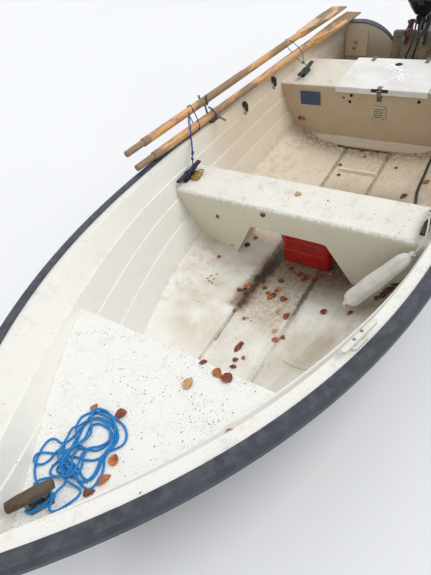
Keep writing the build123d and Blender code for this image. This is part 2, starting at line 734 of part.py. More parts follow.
# leg: steering shaft with its two yokes, shaft housing and anti-ventilation plate
LEG_X = STEER_X - 88.0
YOKE_Z = 380.0
PLATE_Z = -82.0
with BuildPart() as motor_leg:
    with Locations((STEER_X, 0, SWIVEL_FOOT - 24)):
        Cylinder(STEER_R, YOKE_Z + 18 - SWIVEL_FOOT + 24, align=(Align.CENTER, Align.CENTER, Align.MIN))
    for low, high, half in ((YOKE_Z, YOKE_Z + 20, 34), (SWIVEL_FOOT - 28, SWIVEL_FOOT - 6, 24)):
        with BuildSketch(Plane.XY.offset(low)):
            with Locations(((STEER_X + LEG_X) / 2, 0)):
                SlotOverall(STEER_X - LEG_X + 2 * half, 2 * half)
        extrude(amount=high - low)
    for z, fore, aft, half in (
        (400.0, 34.0, -78.0, 46.0), (300.0, 34.0, -70.0, 42.0), (60.0, 32.0, -58.0, 26.0),
        (-70.0, 36.0, -62.0, 17.0)):
        with BuildSketch(Plane.XY.offset(z)):
            with Locations((LEG_X + (fore + aft) / 2, 0)):
                RectangleRounded(fore - aft, 2 * half, half * 0.8)
    loft(ruled=True)
    with BuildSketch(Plane.XY.offset(PLATE_Z)):
        with Locations((LEG_X - 40, 0)):
            SlotOverall(250, 132)
    extrude(amount=12)
motor_leg.part.label = "motor_leg"
export_step(motor_leg.part, "parts/motor_leg.step")

# gearcase with its skeg
NOSE_X = LEG_X + 70
CASE_AFT = LEG_X - 92
with BuildPart() as gearcase:
    with BuildSketch(side_plane()):
        with BuildLine():
            Line((NOSE_X, PROP_Z), (CASE_AFT, PROP_Z))
            Line((CASE_AFT, PROP_Z), (CASE_AFT, PROP_Z + 27))
            Line((CASE_AFT, PROP_Z + 27), (LEG_X - 40, PROP_Z + 31))
            Line((LEG_X - 40, PROP_Z + 31), (LEG_X + 20, PROP_Z + 31))
            ThreePointArc((LEG_X + 20, PROP_Z + 31), (NOSE_X - 16, PROP_Z + 23), (NOSE_X, PROP_Z + 5))
            Line((NOSE_X, PROP_Z + 5), (NOSE_X, PROP_Z))
        make_face()
    revolve(axis=Axis((0, 0, PROP_Z), (1, 0, 0)))
    with BuildSketch(side_plane()):
        with BuildLine():
            Polyline(
                (LEG_X + 36, PLATE_Z - 0.5), (LEG_X + 30, PROP_Z), (LEG_X + 12, PROP_Z - 60),
                (LEG_X - 40, PROP_Z - 118),
                (LEG_X - 82, PROP_Z - 118), (LEG_X - 70, PROP_Z), (LEG_X - 66, PLATE_Z - 0.5), close=True)
        make_face()
    extrude(amount=8, both=True)
gearcase.part.label = "gearcase"
export_step(gearcase.part, "parts/gearcase.step")

HUB_X = CASE_AFT - 6
PROP_BLADES = 3
with BuildPart() as propeller:
    with BuildSketch(Plane(origin=(HUB_X, 0, PROP_Z), x_dir=(0, 1, 0), z_dir=(-1, 0, 0))):
        Circle(26)
    extrude(amount=62, taper=6)
    for n in range(PROP_BLADES):
        a = radians(360 / PROP_BLADES * n + 30)
        out = Vector(0, cos(a), sin(a))
        turn = Vector(0, -sin(a), cos(a))
        # blade sections: radius, chord, pitch angle from the disc
        for radius, chord, pitch in ((20, 44, 52), (54, 66, 34), (PROP_R, 34, 24)):
            b = radians(pitch)
            along = turn * cos(b) + Vector(sin(b), 0, 0)
            with BuildSketch(Plane(origin=Vector(HUB_X - 31, 0, PROP_Z) + out * radius, x_dir=along,
                    z_dir=out)):
                Rectangle(chord, 4.5)
        loft(ruled=True)
propeller.part.label = "propeller"
export_step(propeller.part, "parts/propeller.step")

# cowl sections over the steering axis: height, reach forward, reach aft, half width
TRAY_ROWS = ((404.0, 58.0, 150.0, 54.0), (446.0, 74.0, 186.0, 84.0), (498.0, 94.0, 204.0, 110.0))
COWL_ROWS = (
    (500.0, 96.0, 206.0, 113.0), (575.0, 95.0, 204.0, 110.0), (640.0, 76.0, 182.0, 92.0),
    (664.0, 50.0, 150.0, 64.0))
COWL_WALL = 4.0
with BuildPart() as cowl_tray:
    for z, fore, aft, half in TRAY_ROWS:
        with BuildSketch(Plane.XY.offset(z)):
            with Locations((STEER_X + (fore - aft) / 2, 0)):
                RectangleRounded(fore + aft, 2 * half, half * 0.5)
    loft(ruled=True)
    for z, fore, aft, half in TRAY_ROWS:
        with BuildSketch(Plane.XY.offset(z + COWL_WALL)):
            with Locations((STEER_X + (fore - aft) / 2, 0)):
                RectangleRounded(fore + aft - 2 * COWL_WALL, 2 * half - 2 * COWL_WALL, half * 0.5 - COWL_WALL)
    loft(ruled=True, mode=Mode.SUBTRACT)
cowl_tray.part.label = "cowl_tray"
export_step(cowl_tray.part, "parts/cowl_tray.step")

with BuildPart() as cowl:
    for z, fore, aft, half in COWL_ROWS:
        with BuildSketch(Plane.XY.offset(z)):
            with Locations((STEER_X + (fore - aft) / 2, 0)):
                RectangleRounded(fore + aft, 2 * half, half * 0.5)
    loft(ruled=True)
    for z, fore, aft, half in COWL_ROWS:
        with BuildSketch(Plane.XY.offset(z - COWL_WALL)):
            with Locations((STEER_X + (fore - aft) / 2, 0)):
                RectangleRounded(fore + aft - 2 * COWL_WALL, 2 * half - 2 * COWL_WALL, half * 0.5 - COWL_WALL)
    loft(ruled=True, mode=Mode.SUBTRACT)
cowl.part.label = "cowl"
export_step(cowl.part, "parts/cowl.step")

with BuildPart() as powerhead:
    with Locations((STEER_X - 50, 0, TRAY_ROWS[0][0] + COWL_WALL + 0.5)):
        Box(170, 90, 190, align=(Align.CENTER, Align.CENTER, Align.MIN))
powerhead.part.label = "powerhead"
export_step(powerhead.part, "parts/powerhead.step")

# tiller folded up in front of the cowl: bracket, arm and twist grip
TILLER_X = STEER_X + 112.0
TILLER_FOOT = 486.0
with BuildPart() as tiller:
    with BuildSketch(Plane.XY.offset(TILLER_FOOT)):
        with Locations((TILLER_X, 0)):
            RectangleRounded(26, 34, 8)
    extrude(amount=150)
    with Locations((TILLER_X, 0, TILLER_FOOT + 150)):
        Cylinder(16, 130, align=(Align.CENTER, Align.CENTER, Align.MIN))
    with Locations((STEER_X + TRAY_ROWS[2][1] + 0.3, 0, TILLER_FOOT)):
        Box(16, 40, 11.5, align=(Align.MIN, Align.CENTER, Align.MIN))
tiller.part.label = "tiller"
export_step(tiller.part, "parts/tiller.step")

# carrying handle at the back of the tray
with BuildPart() as carry_handle:
    with Locations((STEER_X - TRAY_ROWS[2][2] - 26, 0, TRAY_ROWS[2][0] - 16)):
        Box(14, 110, 14)
    for side in (-1, 1):
        with Locations((STEER_X - TRAY_ROWS[2][2] - 0.4, side * 48, TRAY_ROWS[2][0] - 16)):
            Box(32, 14, 14, align=(Align.MAX, Align.CENTER, Align.CENTER))
    with Locations((STEER_X, 0, TRAY_ROWS[2][0] - 16)):
        Box(2 * TRAY_ROWS[2][2] + 1, 200, 40, mode=Mode.SUBTRACT)
carry_handle.part.label = "carry_handle"
export_step(carry_handle.part, "parts/carry_handle.step")

# block on the swivel head through which the hoses reach the motor
GUIDE_FRONT = PIVOT_X + 19.0
GUIDE_Z = PIVOT_Z + 29.3
with BuildPart() as hose_guide:
    with Locations((GUIDE_FRONT, 0, GUIDE_Z)):
        Box(26, 66, 24, align=(Align.MAX, Align.CENTER, Align.CENTER))
hose_guide.part.label = "hose_guide"
export_step(hose_guide.part, "parts/hose_guide.step")

# oars: handle end and blade tip of the inner and outer one
OAR_LENGTH = 2420.0
OAR_R = 22.0
GRIP_R = 17.0
GRIP_LONG = 130.0
BLADE_LONG = 640.0
BLADE_LAP = 60.0
INNER_OAR = (Vector(153, -774, 499.5), Vector(-2252, -528.4, 388.8))
OUTER_OAR = (Vector(150, -818, 572), Vector(-2210, -650, 430))


def oar_plane(oar, reach):
    """Plane across an oar at a distance from its handle end, first axis in the blade's width."""
    grip, tip = oar
    along = (tip - grip).normalized()
    return Plane(origin=grip + along * reach, x_dir=along.cross(Vector(0, 0, 1)), z_dir=along)


with BuildPart() as oar_looms:
    for oar in (INNER_OAR, OUTER_OAR):
        with BuildSketch(oar_plane(oar, 0)):
            Circle(GRIP_R)
        extrude(amount=GRIP_LONG)
        with BuildSketch(oar_plane(oar, GRIP_LONG - 2)):
            Circle(OAR_R)
        extrude(amount=OAR_LENGTH - BLADE_LONG - GRIP_LONG + 2)
oar_looms.part.label = "oar_looms"
export_step(oar_looms.part, "parts/oar_looms.step")

with BuildPart() as oar_blades:
    for oar in (INNER_OAR, OUTER_OAR):
        # blade sections: distance from the tip, width, thickness
        for back, wide, thick in ((BLADE_LONG - 0.3, 42, 40), (BLADE_LONG - 190, 92, 20), (200, 126, 12),
                (0, 118, 8)):
            with BuildSketch(oar_plane(oar, OAR_LENGTH - back)):
                Rectangle(wide, thick)
        loft(ruled=True)
oar_blades.part.label = "oar_blades"
export_step(oar_blades.part, "parts/oar_blades.step")

# rowlocks: one horn hangs on each oar; columns: oar, reach, direction of its shank, shank length
HORN_R = 28.0
HORN_ROD = 4.5
SHANK_R = 6.0
ROWLOCK_ROWS = (
    (INNER_OAR, 640.0, Vector(0.0, 0.96, -0.28), 66.0), (OUTER_OAR, 655.0, Vector(0.0, 0.15, -1.0), 70.5))
with BuildPart() as rowlocks:
    for oar, reach, lean, shank in ROWLOCK_ROWS:
        across = oar_plane(oar, reach)
        down = (lean - across.z_dir * lean.dot(across.z_dir)).normalized()
        face = Plane(origin=across.origin, x_dir=down, z_dir=across.z_dir)
        with BuildSketch(face):
            Circle(HORN_R + HORN_ROD)
            Circle(HORN_R - HORN_ROD, mode=Mode.SUBTRACT)
            with Locations((-60, 0)):
                Rectangle(86, 160, mode=Mode.SUBTRACT)
            for side in (-1, 1):
                with Locations((-25, side * HORN_R)):
                    Rectangle(18, 2 * HORN_ROD)
        extrude(amount=HORN_ROD, both=True)
        with BuildSketch(Plane(origin=face.from_local_coords((HORN_R + 1, 0, 0)), z_dir=down)):
            Circle(SHANK_R)
        extrude(amount=shank)
rowlocks.part.label = "rowlocks"
export_step(rowlocks.part, "parts/rowlocks.step")

# rowlock sockets let into the gunwale flange
with BuildPart() as rowlock_sockets:
    for side in (-1, 1):
        place = deck_place(SOCKET_X, SOCKET_IN, side)
        with BuildSketch(Plane(place).offset(0.7)):
            SlotOverall(92, 34)
        extrude(amount=6)
        with BuildSketch(Plane(place).offset(0.7)):
            Circle(SOCKET_TUBE)
        extrude(amount=-SOCKET_DEEP)
        with BuildSketch(Plane(place).offset(20)):
            Circle(SOCKET_R)
        extrude(amount=-200, mode=Mode.SUBTRACT)
rowlock_sockets.part.label = "rowlock_sockets"
export_step(rowlock_sockets.part, "parts/rowlock_sockets.step")

# black horn cleats on the thwart and on the stern seat: x, y, seat height
CLEAT_LONG = 214.0
CLEAT_ROWS = (
    (-72.0, -634.0, THWART_Z), (-72.0, 620.0, THWART_Z), (-1353.0, -524.0, LOCKER_Z),
    (-1353.0, 524.0, LOCKER_Z))
with BuildPart() as horn_cleats:
    for x, y, z in CLEAT_ROWS:
        with BuildSketch(side_plane(y)):
            with BuildLine():
                Polyline(
                    (x - 56, z + 0.3), (x + 56, z + 0.3), (x + 52, z + 9), (x + 30, z + 20), (x + 60, z + 27),
                    (x + CLEAT_LONG / 2, z + 34), (x + CLEAT_LONG / 2 - 3, z + 44), (x + 52, z + 42),
                    (x, z + 40),
                    (x - 52, z + 42), (x - CLEAT_LONG / 2 + 3, z + 44), (x - CLEAT_LONG / 2, z + 34),
                    (x - 60, z + 27), (x - 30, z + 20), (x - 52, z + 9), close=True)
            make_face()
        extrude(amount=11, both=True)
horn_cleats.part.label = "horn_cleats"
export_step(horn_cleats.part, "parts/horn_cleats.step")

# white cleat on the port gunwale
GUN_X = 755.0
GUN_LONG = 168.0
with BuildPart() as gunwale_cleat:
    base = deck_place(GUN_X, 21.0, 1)
    with BuildSketch(Plane(base).offset(0.7)):
        SlotOverall(76, 26)
    extrude(amount=9)
    for end in (-1, 1):
        with BuildSketch(Plane(base * Location((end * 20, 0, 8)))):
            Circle(8)
        extrude(amount=20)
    with BuildSketch(Plane(base * Location((0, 0, 26)))):
        SlotOverall(GUN_LONG, 17)
    extrude(amount=11)
gunwale_cleat.part.label = "gunwale_cleat"
export_step(gunwale_cleat.part, "parts/gunwale_cleat.step")

# wooden bar cleat on its post at the stem
BAR_X = 1580.0
BAR_Y = -3.5
BAR_Z = BOW_SEAT_Z + 78.0
BAR_TURN = -31.7
POST_BOLT = 28.0
POST_BOLT_R = 9.0
POST_PLATE = 6.0
BAR_ROWS = ((-68, 28, 24), (-34, 36, 34), (34, 36, 34), (68, 32, 28))
bar_place = Location((BAR_X, BAR_Y, 0), (0, 0, BAR_TURN))
bar_along = Vector(cos(radians(BAR_TURN)), sin(radians(BAR_TURN)), 0)
with BuildPart() as bow_cleat_post:
    with Locations(bar_place * Location((0, 0, BOW_SEAT_Z + 0.4))):
        Box(70, 30, POST_PLATE, align=(Align.CENTER, Align.CENTER, Align.MIN))
    for end in (-1, 1):
        with Locations(bar_place * Location((end * POST_BOLT, 0, BOW_SEAT_Z + POST_PLATE))):
            Cylinder(POST_BOLT_R, BAR_Z - BOW_SEAT_Z - POST_PLATE - 18, align=(Align.CENTER, Align.CENTER,
                Align.MIN))
bow_cleat_post.part.label = "bow_cleat_post"
export_step(bow_cleat_post.part, "parts/bow_cleat_post.step")

with BuildPart() as bow_cleat_bar:
    bar = Plane(origin=(BAR_X, BAR_Y, BAR_Z), x_dir=Vector(0, 0, 1).cross(bar_along), z_dir=bar_along)
    # bar sections: reach along it, width, height
    for reach, wide, high in BAR_ROWS:
        with BuildSketch(bar.offset(reach)):
            RectangleRounded(wide, high, high * 0.4)
    loft(ruled=True)
bow_cleat_bar.part.label = "bow_cleat_bar"
export_step(bow_cleat_bar.part, "parts/bow_cleat_bar.step")

# white fender lying against the thwart, with a neck at both ends
FENDER_R = 44.0
FENDER_NECK_R = 13.0
FENDER_NECK = 22.0
FENDER_LOW = Vector(215, 384, 26)
FENDER_HIGH = Vector(112, 600, 300)
fender_way = (FENDER_HIGH - FENDER_LOW).normalized()
with BuildPart() as fender:
    with BuildSketch(Plane(origin=FENDER_LOW, z_dir=fender_way)):
        Circle(FENDER_R)
    extrude(amount=(FENDER_HIGH - FENDER_LOW).length)
    fillet(fender.edges().filter_by(GeomType.CIRCLE), 26)
    for end, out in ((FENDER_LOW, -1), (FENDER_HIGH, 1)):
        with BuildSketch(Plane(origin=end, x_dir=(0, 0, 1), z_dir=fender_way * out)):
            Circle(FENDER_NECK_R)
        extrude(amount=FENDER_NECK)
fender.part.label = "fender"
export_step(fender.part, "parts/fender.step")

# portable fuel tank under the thwart
TANK = (-395.0, -20.0, -78.0, 200.0, -76.0, 142.0)
with BuildPart() as fuel_tank:
    with Locations((TANK[0], TANK[2], TANK[4])):
        Box(TANK[1] - TANK[0], TANK[3] - TANK[2], TANK[5] - TANK[4], align=(Align.MIN, Align.MIN, Align.MIN))
    fillet(fuel_tank.edges().filter_by(Axis.Z), 34)
    fillet(fuel_tank.faces().sort_by(Axis.Z)[-1].edges(), 18)
fuel_tank.part.label = "fuel_tank"
export_step(fuel_tank.part, "parts/fuel_tank.step")

# filler cap and the outlet that the fuel hose goes to
OUTLET_X = TANK[0] + 50.0
OUTLET_Y = TANK[3] - 50.0
OUTLET_SIDE = 24.0
CAP_R = 34.0
with BuildPart() as tank_fittings:
    with Locations((TANK[0] + 90, TANK[3] - 110, TANK[5] + 0.3)):
        Cylinder(CAP_R, 18, align=(Align.CENTER, Align.CENTER, Align.MIN))
    with Locations((OUTLET_X, OUTLET_Y, TANK[5] + 0.3)):
        Box(OUTLET_SIDE, OUTLET_SIDE, 26, align=(Align.CENTER, Align.CENTER, Align.MIN))
tank_fittings.part.label = "tank_fittings"
export_step(tank_fittings.part, "parts/tank_fittings.step")

# padlock that lies on the thwart beside the starboard cleat: body and shackle
PADLOCK = Location((-80.0, -592.0, THWART_Z + 0.4), (0, 0, -84))
PADLOCK_WIDE = 44.0
PADLOCK_LONG = 58.0
PADLOCK_THICK = 24.0
SHACKLE_R = 15.0
SHACKLE_ROD = 3.5
SHACKLE_OUT = PADLOCK_LONG / 2 + 12
with BuildPart() as padlock:
    with BuildSketch(Plane(PADLOCK)):
        RectangleRounded(PADLOCK_WIDE, PADLOCK_LONG, 5)
    extrude(amount=PADLOCK_THICK)
    with BuildSketch(Plane(PADLOCK).offset(PADLOCK_THICK / 2)):
        with Locations((0, -SHACKLE_OUT)):
            Circle(SHACKLE_R + SHACKLE_ROD)
            Circle(SHACKLE_R - SHACKLE_ROD, mode=Mode.SUBTRACT)
        with Locations((0, -SHACKLE_OUT + 20)):
            Rectangle(60, 40, mode=Mode.SUBTRACT)
        for side in (-1, 1):
            with Locations((side * SHACKLE_R, -SHACKLE_OUT + 5.9)):
                Rectangle(2 * SHACKLE_ROD, 11.8)
    extrude(amount=SHACKLE_ROD, both=True)
padlock.part.label = "padlock"
export_step(padlock.part, "parts/padlock.step")

# ropes and hoses
ROPE = 8.0
NAVY_CORD = 6.0
GREEN_CORD = 5.0
FUEL_HOSE = 14.0
LEAD_HOSE = 12.0


def cord_radii(points):
    """Arc at each corner of a route, as large as its two runs and its turn allow."""
    radii = []
    for a, b, c in zip(points, points[1:], points[2:]):
        turn = radians((b - a).get_angle(c - b))
        radii.append(0.45 * min((b - a).length, (c - b).length) / tan(turn / 2))
    return radii


def cord_line(points):
    """Route of a cord: straight runs joined by tangent arcs."""
    return FilletPolyline(*points, radius=cord_radii(points))


def report_cord(name, points, tube, diameter):
    """Print a cord's arcs, its length and its volume against section times length."""
    length = FilletPolyline(*points, radius=cord_radii(points)).length
    share = tube.volume / (pi * diameter * diameter / 4 * length)
    arcs = ", ".join(f"{radius:.0f}" for radius in cord_radii(points))
    print(f"{name}: arcs {arcs}; length {length:.0f}, volume share {share:.3f}")


def oar_at(oar, x):
    """Centre of an oar at a station."""
    grip, tip = oar
    return grip + (tip - grip) * ((x - grip.X) / (tip.X - grip.X))


def lash_corner(x, letter, reach):
    """Corner of a lashing round both oars.

    A is inboard and B outboard of the outer oar, C below and D inboard of the inner one.
    """
    outer = oar_at(OUTER_OAR, x)
    inner = oar_at(INNER_OAR, x)
    up = (outer - inner).normalized()
    inboard = up.cross(Vector(1, 0, 0))
    if letter == "A":
        return outer + (up + inboard) * reach
    if letter == "B":
        return outer + (up - inboard) * reach
    if letter == "C":
        return inner - (up + inboard) * reach
    return inner + (inboard - up) * reach


# painter: turns round the post, the heap on the seat and the strands between them
RING_GAP = 0.5
RING_Z = BOW_SEAT_Z + POST_PLATE + 0.8
with BuildPart() as painter_turns:
    with BuildSketch(Plane(bar_place * Location((0, 0, RING_Z)))):
        SlotOverall(2 * (POST_BOLT + POST_BOLT_R + RING_GAP + ROPE), 2 * (POST_BOLT_R + RING_GAP + ROPE))
        SlotOverall(2 * (POST_BOLT + POST_BOLT_R + RING_GAP), 2 * (POST_BOLT_R + RING_GAP),
            mode=Mode.SUBTRACT)
    extrude(amount=2 * ROPE)
painter_turns.part.label = "painter_turns"
export_step(painter_turns.part, "parts/painter_turns.step")

HEAP_OUTLINE = (
    (1510, 12), (1526, -36), (1508, -56), (1477, -62), (1441, -66), (1405, -70), (1382, -91), (1351, -82),
    (1327, -97), (1296, -77), (1270, -43), (1271, 35), (1301, 100), (1329, 107), (1366, 83), (1402, 91),
    (1437, 103), (1464, 106), (1487, 90), (1489, 54), (1505, 44))
HEAP_HIGH = 24.0
with BuildPart() as painter_heap:
    with BuildSketch(Plane.XY.offset(BOW_SEAT_Z + 0.4)):
        with BuildLine():
            Polyline(*HEAP_OUTLINE, close=True)
        make_face()
    extrude(amount=HEAP_HIGH)
    chamfer(painter_heap.faces().sort_by(Axis.Z)[-1].edges(), 6)
painter_heap.part.label = "painter_heap"
export_step(painter_heap.part, "parts/painter_heap.step")

ROPE_Z = BOW_SEAT_Z + ROPE / 2 + 0.4
ring_face = Vector(BAR_X, BAR_Y, 0) - Vector(-bar_along.Y, bar_along.X, 0) * (POST_BOLT_R + RING_GAP + ROPE)
ring_out = Vector(bar_along.Y, -bar_along.X, 0)
lead_start = ring_face + Vector(0, 0, RING_Z + ROPE / 2 + 0.2)
LEAD_ROUTE = (
    lead_start, lead_start + ring_out * 17, Vector(1552, -52, ROPE_Z + 2.6), Vector(1543, -72, ROPE_Z),
    Vector(1532, -93, ROPE_Z), Vector(1510, -115, ROPE_Z), Vector(1482, -129, ROPE_Z),
    Vector(1452, -137, ROPE_Z),
    Vector(1430, -135, ROPE_Z), Vector(1417, -119, ROPE_Z), Vector(1419.5, -96, ROPE_Z),
    Vector(1416.8, -69.2, ROPE_Z))
with BuildPart() as painter_lead:
    with BuildLine() as route:
        cord_line(LEAD_ROUTE)
    with BuildSketch(Plane(origin=route.line @ 0, z_dir=route.line % 0)):
        Circle(ROPE / 2)
    sweep(path=route.line)
report_cord("painter_lead", LEAD_ROUTE, painter_lead.part, ROPE)
painter_lead.part.label = "painter_lead"
export_step(painter_lead.part, "parts/painter_lead.step")

tail_start = ring_face + bar_along * 22 + Vector(0, 0, RING_Z + 1.5 * ROPE)
TAIL_ROUTE = (
    tail_start, tail_start + ring_out * 17, Vector(1570, -58, ROPE_Z + 12), Vector(1552, -67, ROPE_Z + 11.4),
    Vector(1532, -61, ROPE_Z + 11.4), Vector(1517.4, -46.8, ROPE_Z + 10))
with BuildPart() as painter_tail:
    with BuildLine() as route:
        cord_line(TAIL_ROUTE)
    with BuildSketch(Plane(origin=route.line @ 0, z_dir=route.line % 0)):
        Circle(ROPE / 2)
    sweep(path=route.line)
report_cord("painter_tail", TAIL_ROUTE, painter_tail.part, ROPE)
painter_tail.part.label = "painter_tail"
export_step(painter_tail.part, "parts/painter_tail.step")

LOOP_ROUTE = (
    Vector(1507.6, 28, ROPE_Z), Vector(1527.3, 31.5, ROPE_Z), Vector(1549, 39, ROPE_Z),
    Vector(1570, 41, ROPE_Z),
    Vector(1583, 51, ROPE_Z), Vector(1571, 65, ROPE_Z), Vector(1551, 75, ROPE_Z), Vector(1530, 84, ROPE_Z),
    Vector(1509, 81, ROPE_Z), Vector(1487.7, 80, ROPE_Z))
with BuildPart() as painter_loop:
    with BuildLine() as route:
        cord_line(LOOP_ROUTE)
    with BuildSketch(Plane(origin=route.line @ 0, z_dir=route.line % 0)):
        Circle(ROPE / 2)
    sweep(path=route.line)
report_cord("painter_loop", LOOP_ROUTE, painter_loop.part, ROPE)
painter_loop.part.label = "painter_loop"
export_step(painter_loop.part, "parts/painter_loop.step")

# lashings that hold the oars to the cleats, with their knots
NAVY_KNOT = Vector(-148, -642, 424)
GREEN_KNOT = Vector(-1369, -550, 386)
FENDER_KNOT = Vector(-72, 620, THWART_Z + 52.4)
KNOT_R = 12.0
with BuildPart() as lashing_knots:
    for place in (NAVY_KNOT, GREEN_KNOT, FENDER_KNOT):
        with Locations(place):
            Sphere(KNOT_R)
lashing_knots.part.label = "lashing_knots"
export_step(lashing_knots.part, "parts/lashing_knots.step")

NAVY_REACH = OAR_R + NAVY_CORD / 2 + 0.8
NAVY_ROUTE = (
    Vector(-112, -634, THWART_Z + 42), NAVY_KNOT, lash_corner(-372, "A", NAVY_REACH),
    lash_corner(-384, "B", NAVY_REACH), lash_corner(-330, "C", NAVY_REACH),
    lash_corner(-325, "D", NAVY_REACH),
    lash_corner(-388, "A", NAVY_REACH), lash_corner(-398, "B", NAVY_REACH),
    lash_corner(-262, "C", NAVY_REACH),
    Vector(-230, -693, 448), NAVY_KNOT + Vector(-5, -3, 2))
with BuildPart() as navy_lashing:
    with BuildLine() as route:
        cord_line(NAVY_ROUTE)
    with BuildSketch(Plane(origin=route.line @ 0, z_dir=route.line % 0)):
        Circle(NAVY_CORD / 2)
    sweep(path=route.line)
report_cord("navy_lashing", NAVY_ROUTE, navy_lashing.part, NAVY_CORD)
navy_lashing.part.label = "navy_lashing"
export_step(navy_lashing.part, "parts/navy_lashing.step")

GREEN_REACH = OAR_R + GREEN_CORD / 2 + 0.8
GREEN_ROUTE = (
    Vector(-1378, -524, LOCKER_Z + 42), GREEN_KNOT, lash_corner(-1436, "D", GREEN_REACH),
    lash_corner(-1470, "A", GREEN_REACH), lash_corner(-1480, "B", GREEN_REACH),
    lash_corner(-1398, "C", GREEN_REACH),
    GREEN_KNOT + Vector(-4, -4, -2))
with BuildPart() as green_lashing:
    with BuildLine() as route:
        cord_line(GREEN_ROUTE)
    with BuildSketch(Plane(origin=route.line @ 0, z_dir=route.line % 0)):
        Circle(GREEN_CORD / 2)
    sweep(path=route.line)
report_cord("green_lashing", GREEN_ROUTE, green_lashing.part, GREEN_CORD)
green_lashing.part.label = "green_lashing"
export_step(green_lashing.part, "parts/green_lashing.step")

# line from the fender to the port cleat on the thwart
fender_start = FENDER_HIGH + fender_way * (FENDER_NECK + 0.2)
FENDER_ROUTE = (
    fender_start, fender_start + fender_way * 17, Vector(90, 632, 345), Vector(62, 637, 361),
    Vector(24, 635, 376),
    Vector(-20, 628, 382), Vector(-62, 620, 376))
with BuildPart() as fender_line:
    with BuildLine() as route:
        cord_line(FENDER_ROUTE)
    with BuildSketch(Plane(origin=route.line @ 0, z_dir=route.line % 0)):
        Circle(ROPE / 2)
    sweep(path=route.line)
report_cord("fender_line", FENDER_ROUTE, fender_line.part, ROPE)
fender_line.part.label = "fender_line"
export_step(fender_line.part, "parts/fender_line.step")


def floor_height(x, y):
    """Height of the moulding's floor and sides at a place."""
    outline = cavity_half(x, edge_half(x) - FLANGE, sheer(x), 0.0)
    for (y0, z0), (y1, z1) in zip(outline, outline[1:]):
        if y0 < abs(y) <= y1:
            return z0 + (z1 - z0) * (abs(y) - y0) / (y1 - y0)
    return outline[0][1]


def laid(x, y, diameter):
    """Centre of a hose that lies on the floor."""
    return Vector(x, y, floor_height(x, y) + diameter / 2 + 1.8)


# fuel hose: from the motor down behind the locker, over the stern seat and along the floor to the tank
SEAT_OVER = LOCKER_Z + FUEL_HOSE / 2 + 1.2
FUEL_ROUTE = (
    Vector(GUIDE_FRONT + 0.2, 16, GUIDE_Z), Vector(GUIDE_FRONT + 28, 16, GUIDE_Z), Vector(-2076, 19, 379),
    Vector(-2040, 25, 360), Vector(-2008, 31, 330), Vector(-1986, 33, 292), Vector(-1976, 28, 246),
    Vector(-1975, 14, 196), Vector(-1974, 8, 138), Vector(-1968, 22, 82), Vector(-1948, 55, 28),
    Vector(-1910, 105, -14), laid(-1856, 166, FUEL_HOSE), laid(-1785, 232, FUEL_HOSE),
    Vector(-1715, 300, -22),
    Vector(-1660, 362, 22), Vector(LOCKER_AFT - 22, 396, 92), Vector(LOCKER_AFT - 16, 410, 168),
    Vector(LOCKER_AFT - 29, 416, 238), Vector(LOCKER_AFT - 36, 418, 290),
    Vector(LOCKER_AFT - 17, 419, LOCKER_Z + 18),
    Vector(LOCKER_AFT + 25, 420, LOCKER_Z + 46), Vector(LOCKER_AFT + 75, 420, LOCKER_Z + 46),
    Vector(LOCKER_AFT + 123, 421, LOCKER_Z + 22), Vector(LOCKER_AFT + 176, 423, SEAT_OVER + 1),
    Vector(LOCKER_FORE - 160, 426, SEAT_OVER), Vector(LOCKER_FORE - 102, 424, LOCKER_Z + 14),
    Vector(LOCKER_FORE - 48, 421, LOCKER_Z + 29), Vector(LOCKER_FORE + 4, 419, LOCKER_Z + 23),
    Vector(LOCKER_FORE + 42, 417, LOCKER_Z - 12), Vector(LOCKER_FORE + 52, 416, LOCKER_Z - 62),
    Vector(LOCKER_FORE + 44, 415, LOCKER_Z - 118), Vector(LOCKER_FORE + 28, 414, 122),
    Vector(LOCKER_FORE + 31, 413, 46), Vector(-1148, 412, -4), laid(-1094, 410, FUEL_HOSE),
    laid(-1008, 413, FUEL_HOSE), laid(-905, 419, FUEL_HOSE), laid(-800, 421, FUEL_HOSE),
    laid(-712, 428, FUEL_HOSE),
    laid(-632, 448, FUEL_HOSE), laid(-556, 458, FUEL_HOSE), laid(-494, 440, FUEL_HOSE),
    laid(-442, 398, FUEL_HOSE),
    laid(-406, 346, FUEL_HOSE) + Vector(0, 0, 8), Vector(-384, 306, 0), Vector(-368, 276, 46),
    Vector(-356, 250, 98), Vector(OUTLET_X - 2, 220, 138), Vector(OUTLET_X - 1, 186, TANK[5] + 13),
    Vector(OUTLET_X, OUTLET_Y + OUTLET_SIDE / 2 + 0.2, TANK[5] + 14))
with BuildPart() as fuel_hose:
    with BuildLine() as route:
        cord_line(FUEL_ROUTE)
    with BuildSketch(Plane(origin=route.line @ 0, z_dir=route.line % 0)):
        Circle(FUEL_HOSE / 2)
    sweep(path=route.line)
report_cord("fuel_hose", FUEL_ROUTE, fuel_hose.part, FUEL_HOSE)
fuel_hose.part.label = "fuel_hose"
export_step(fuel_hose.part, "parts/fuel_hose.step")

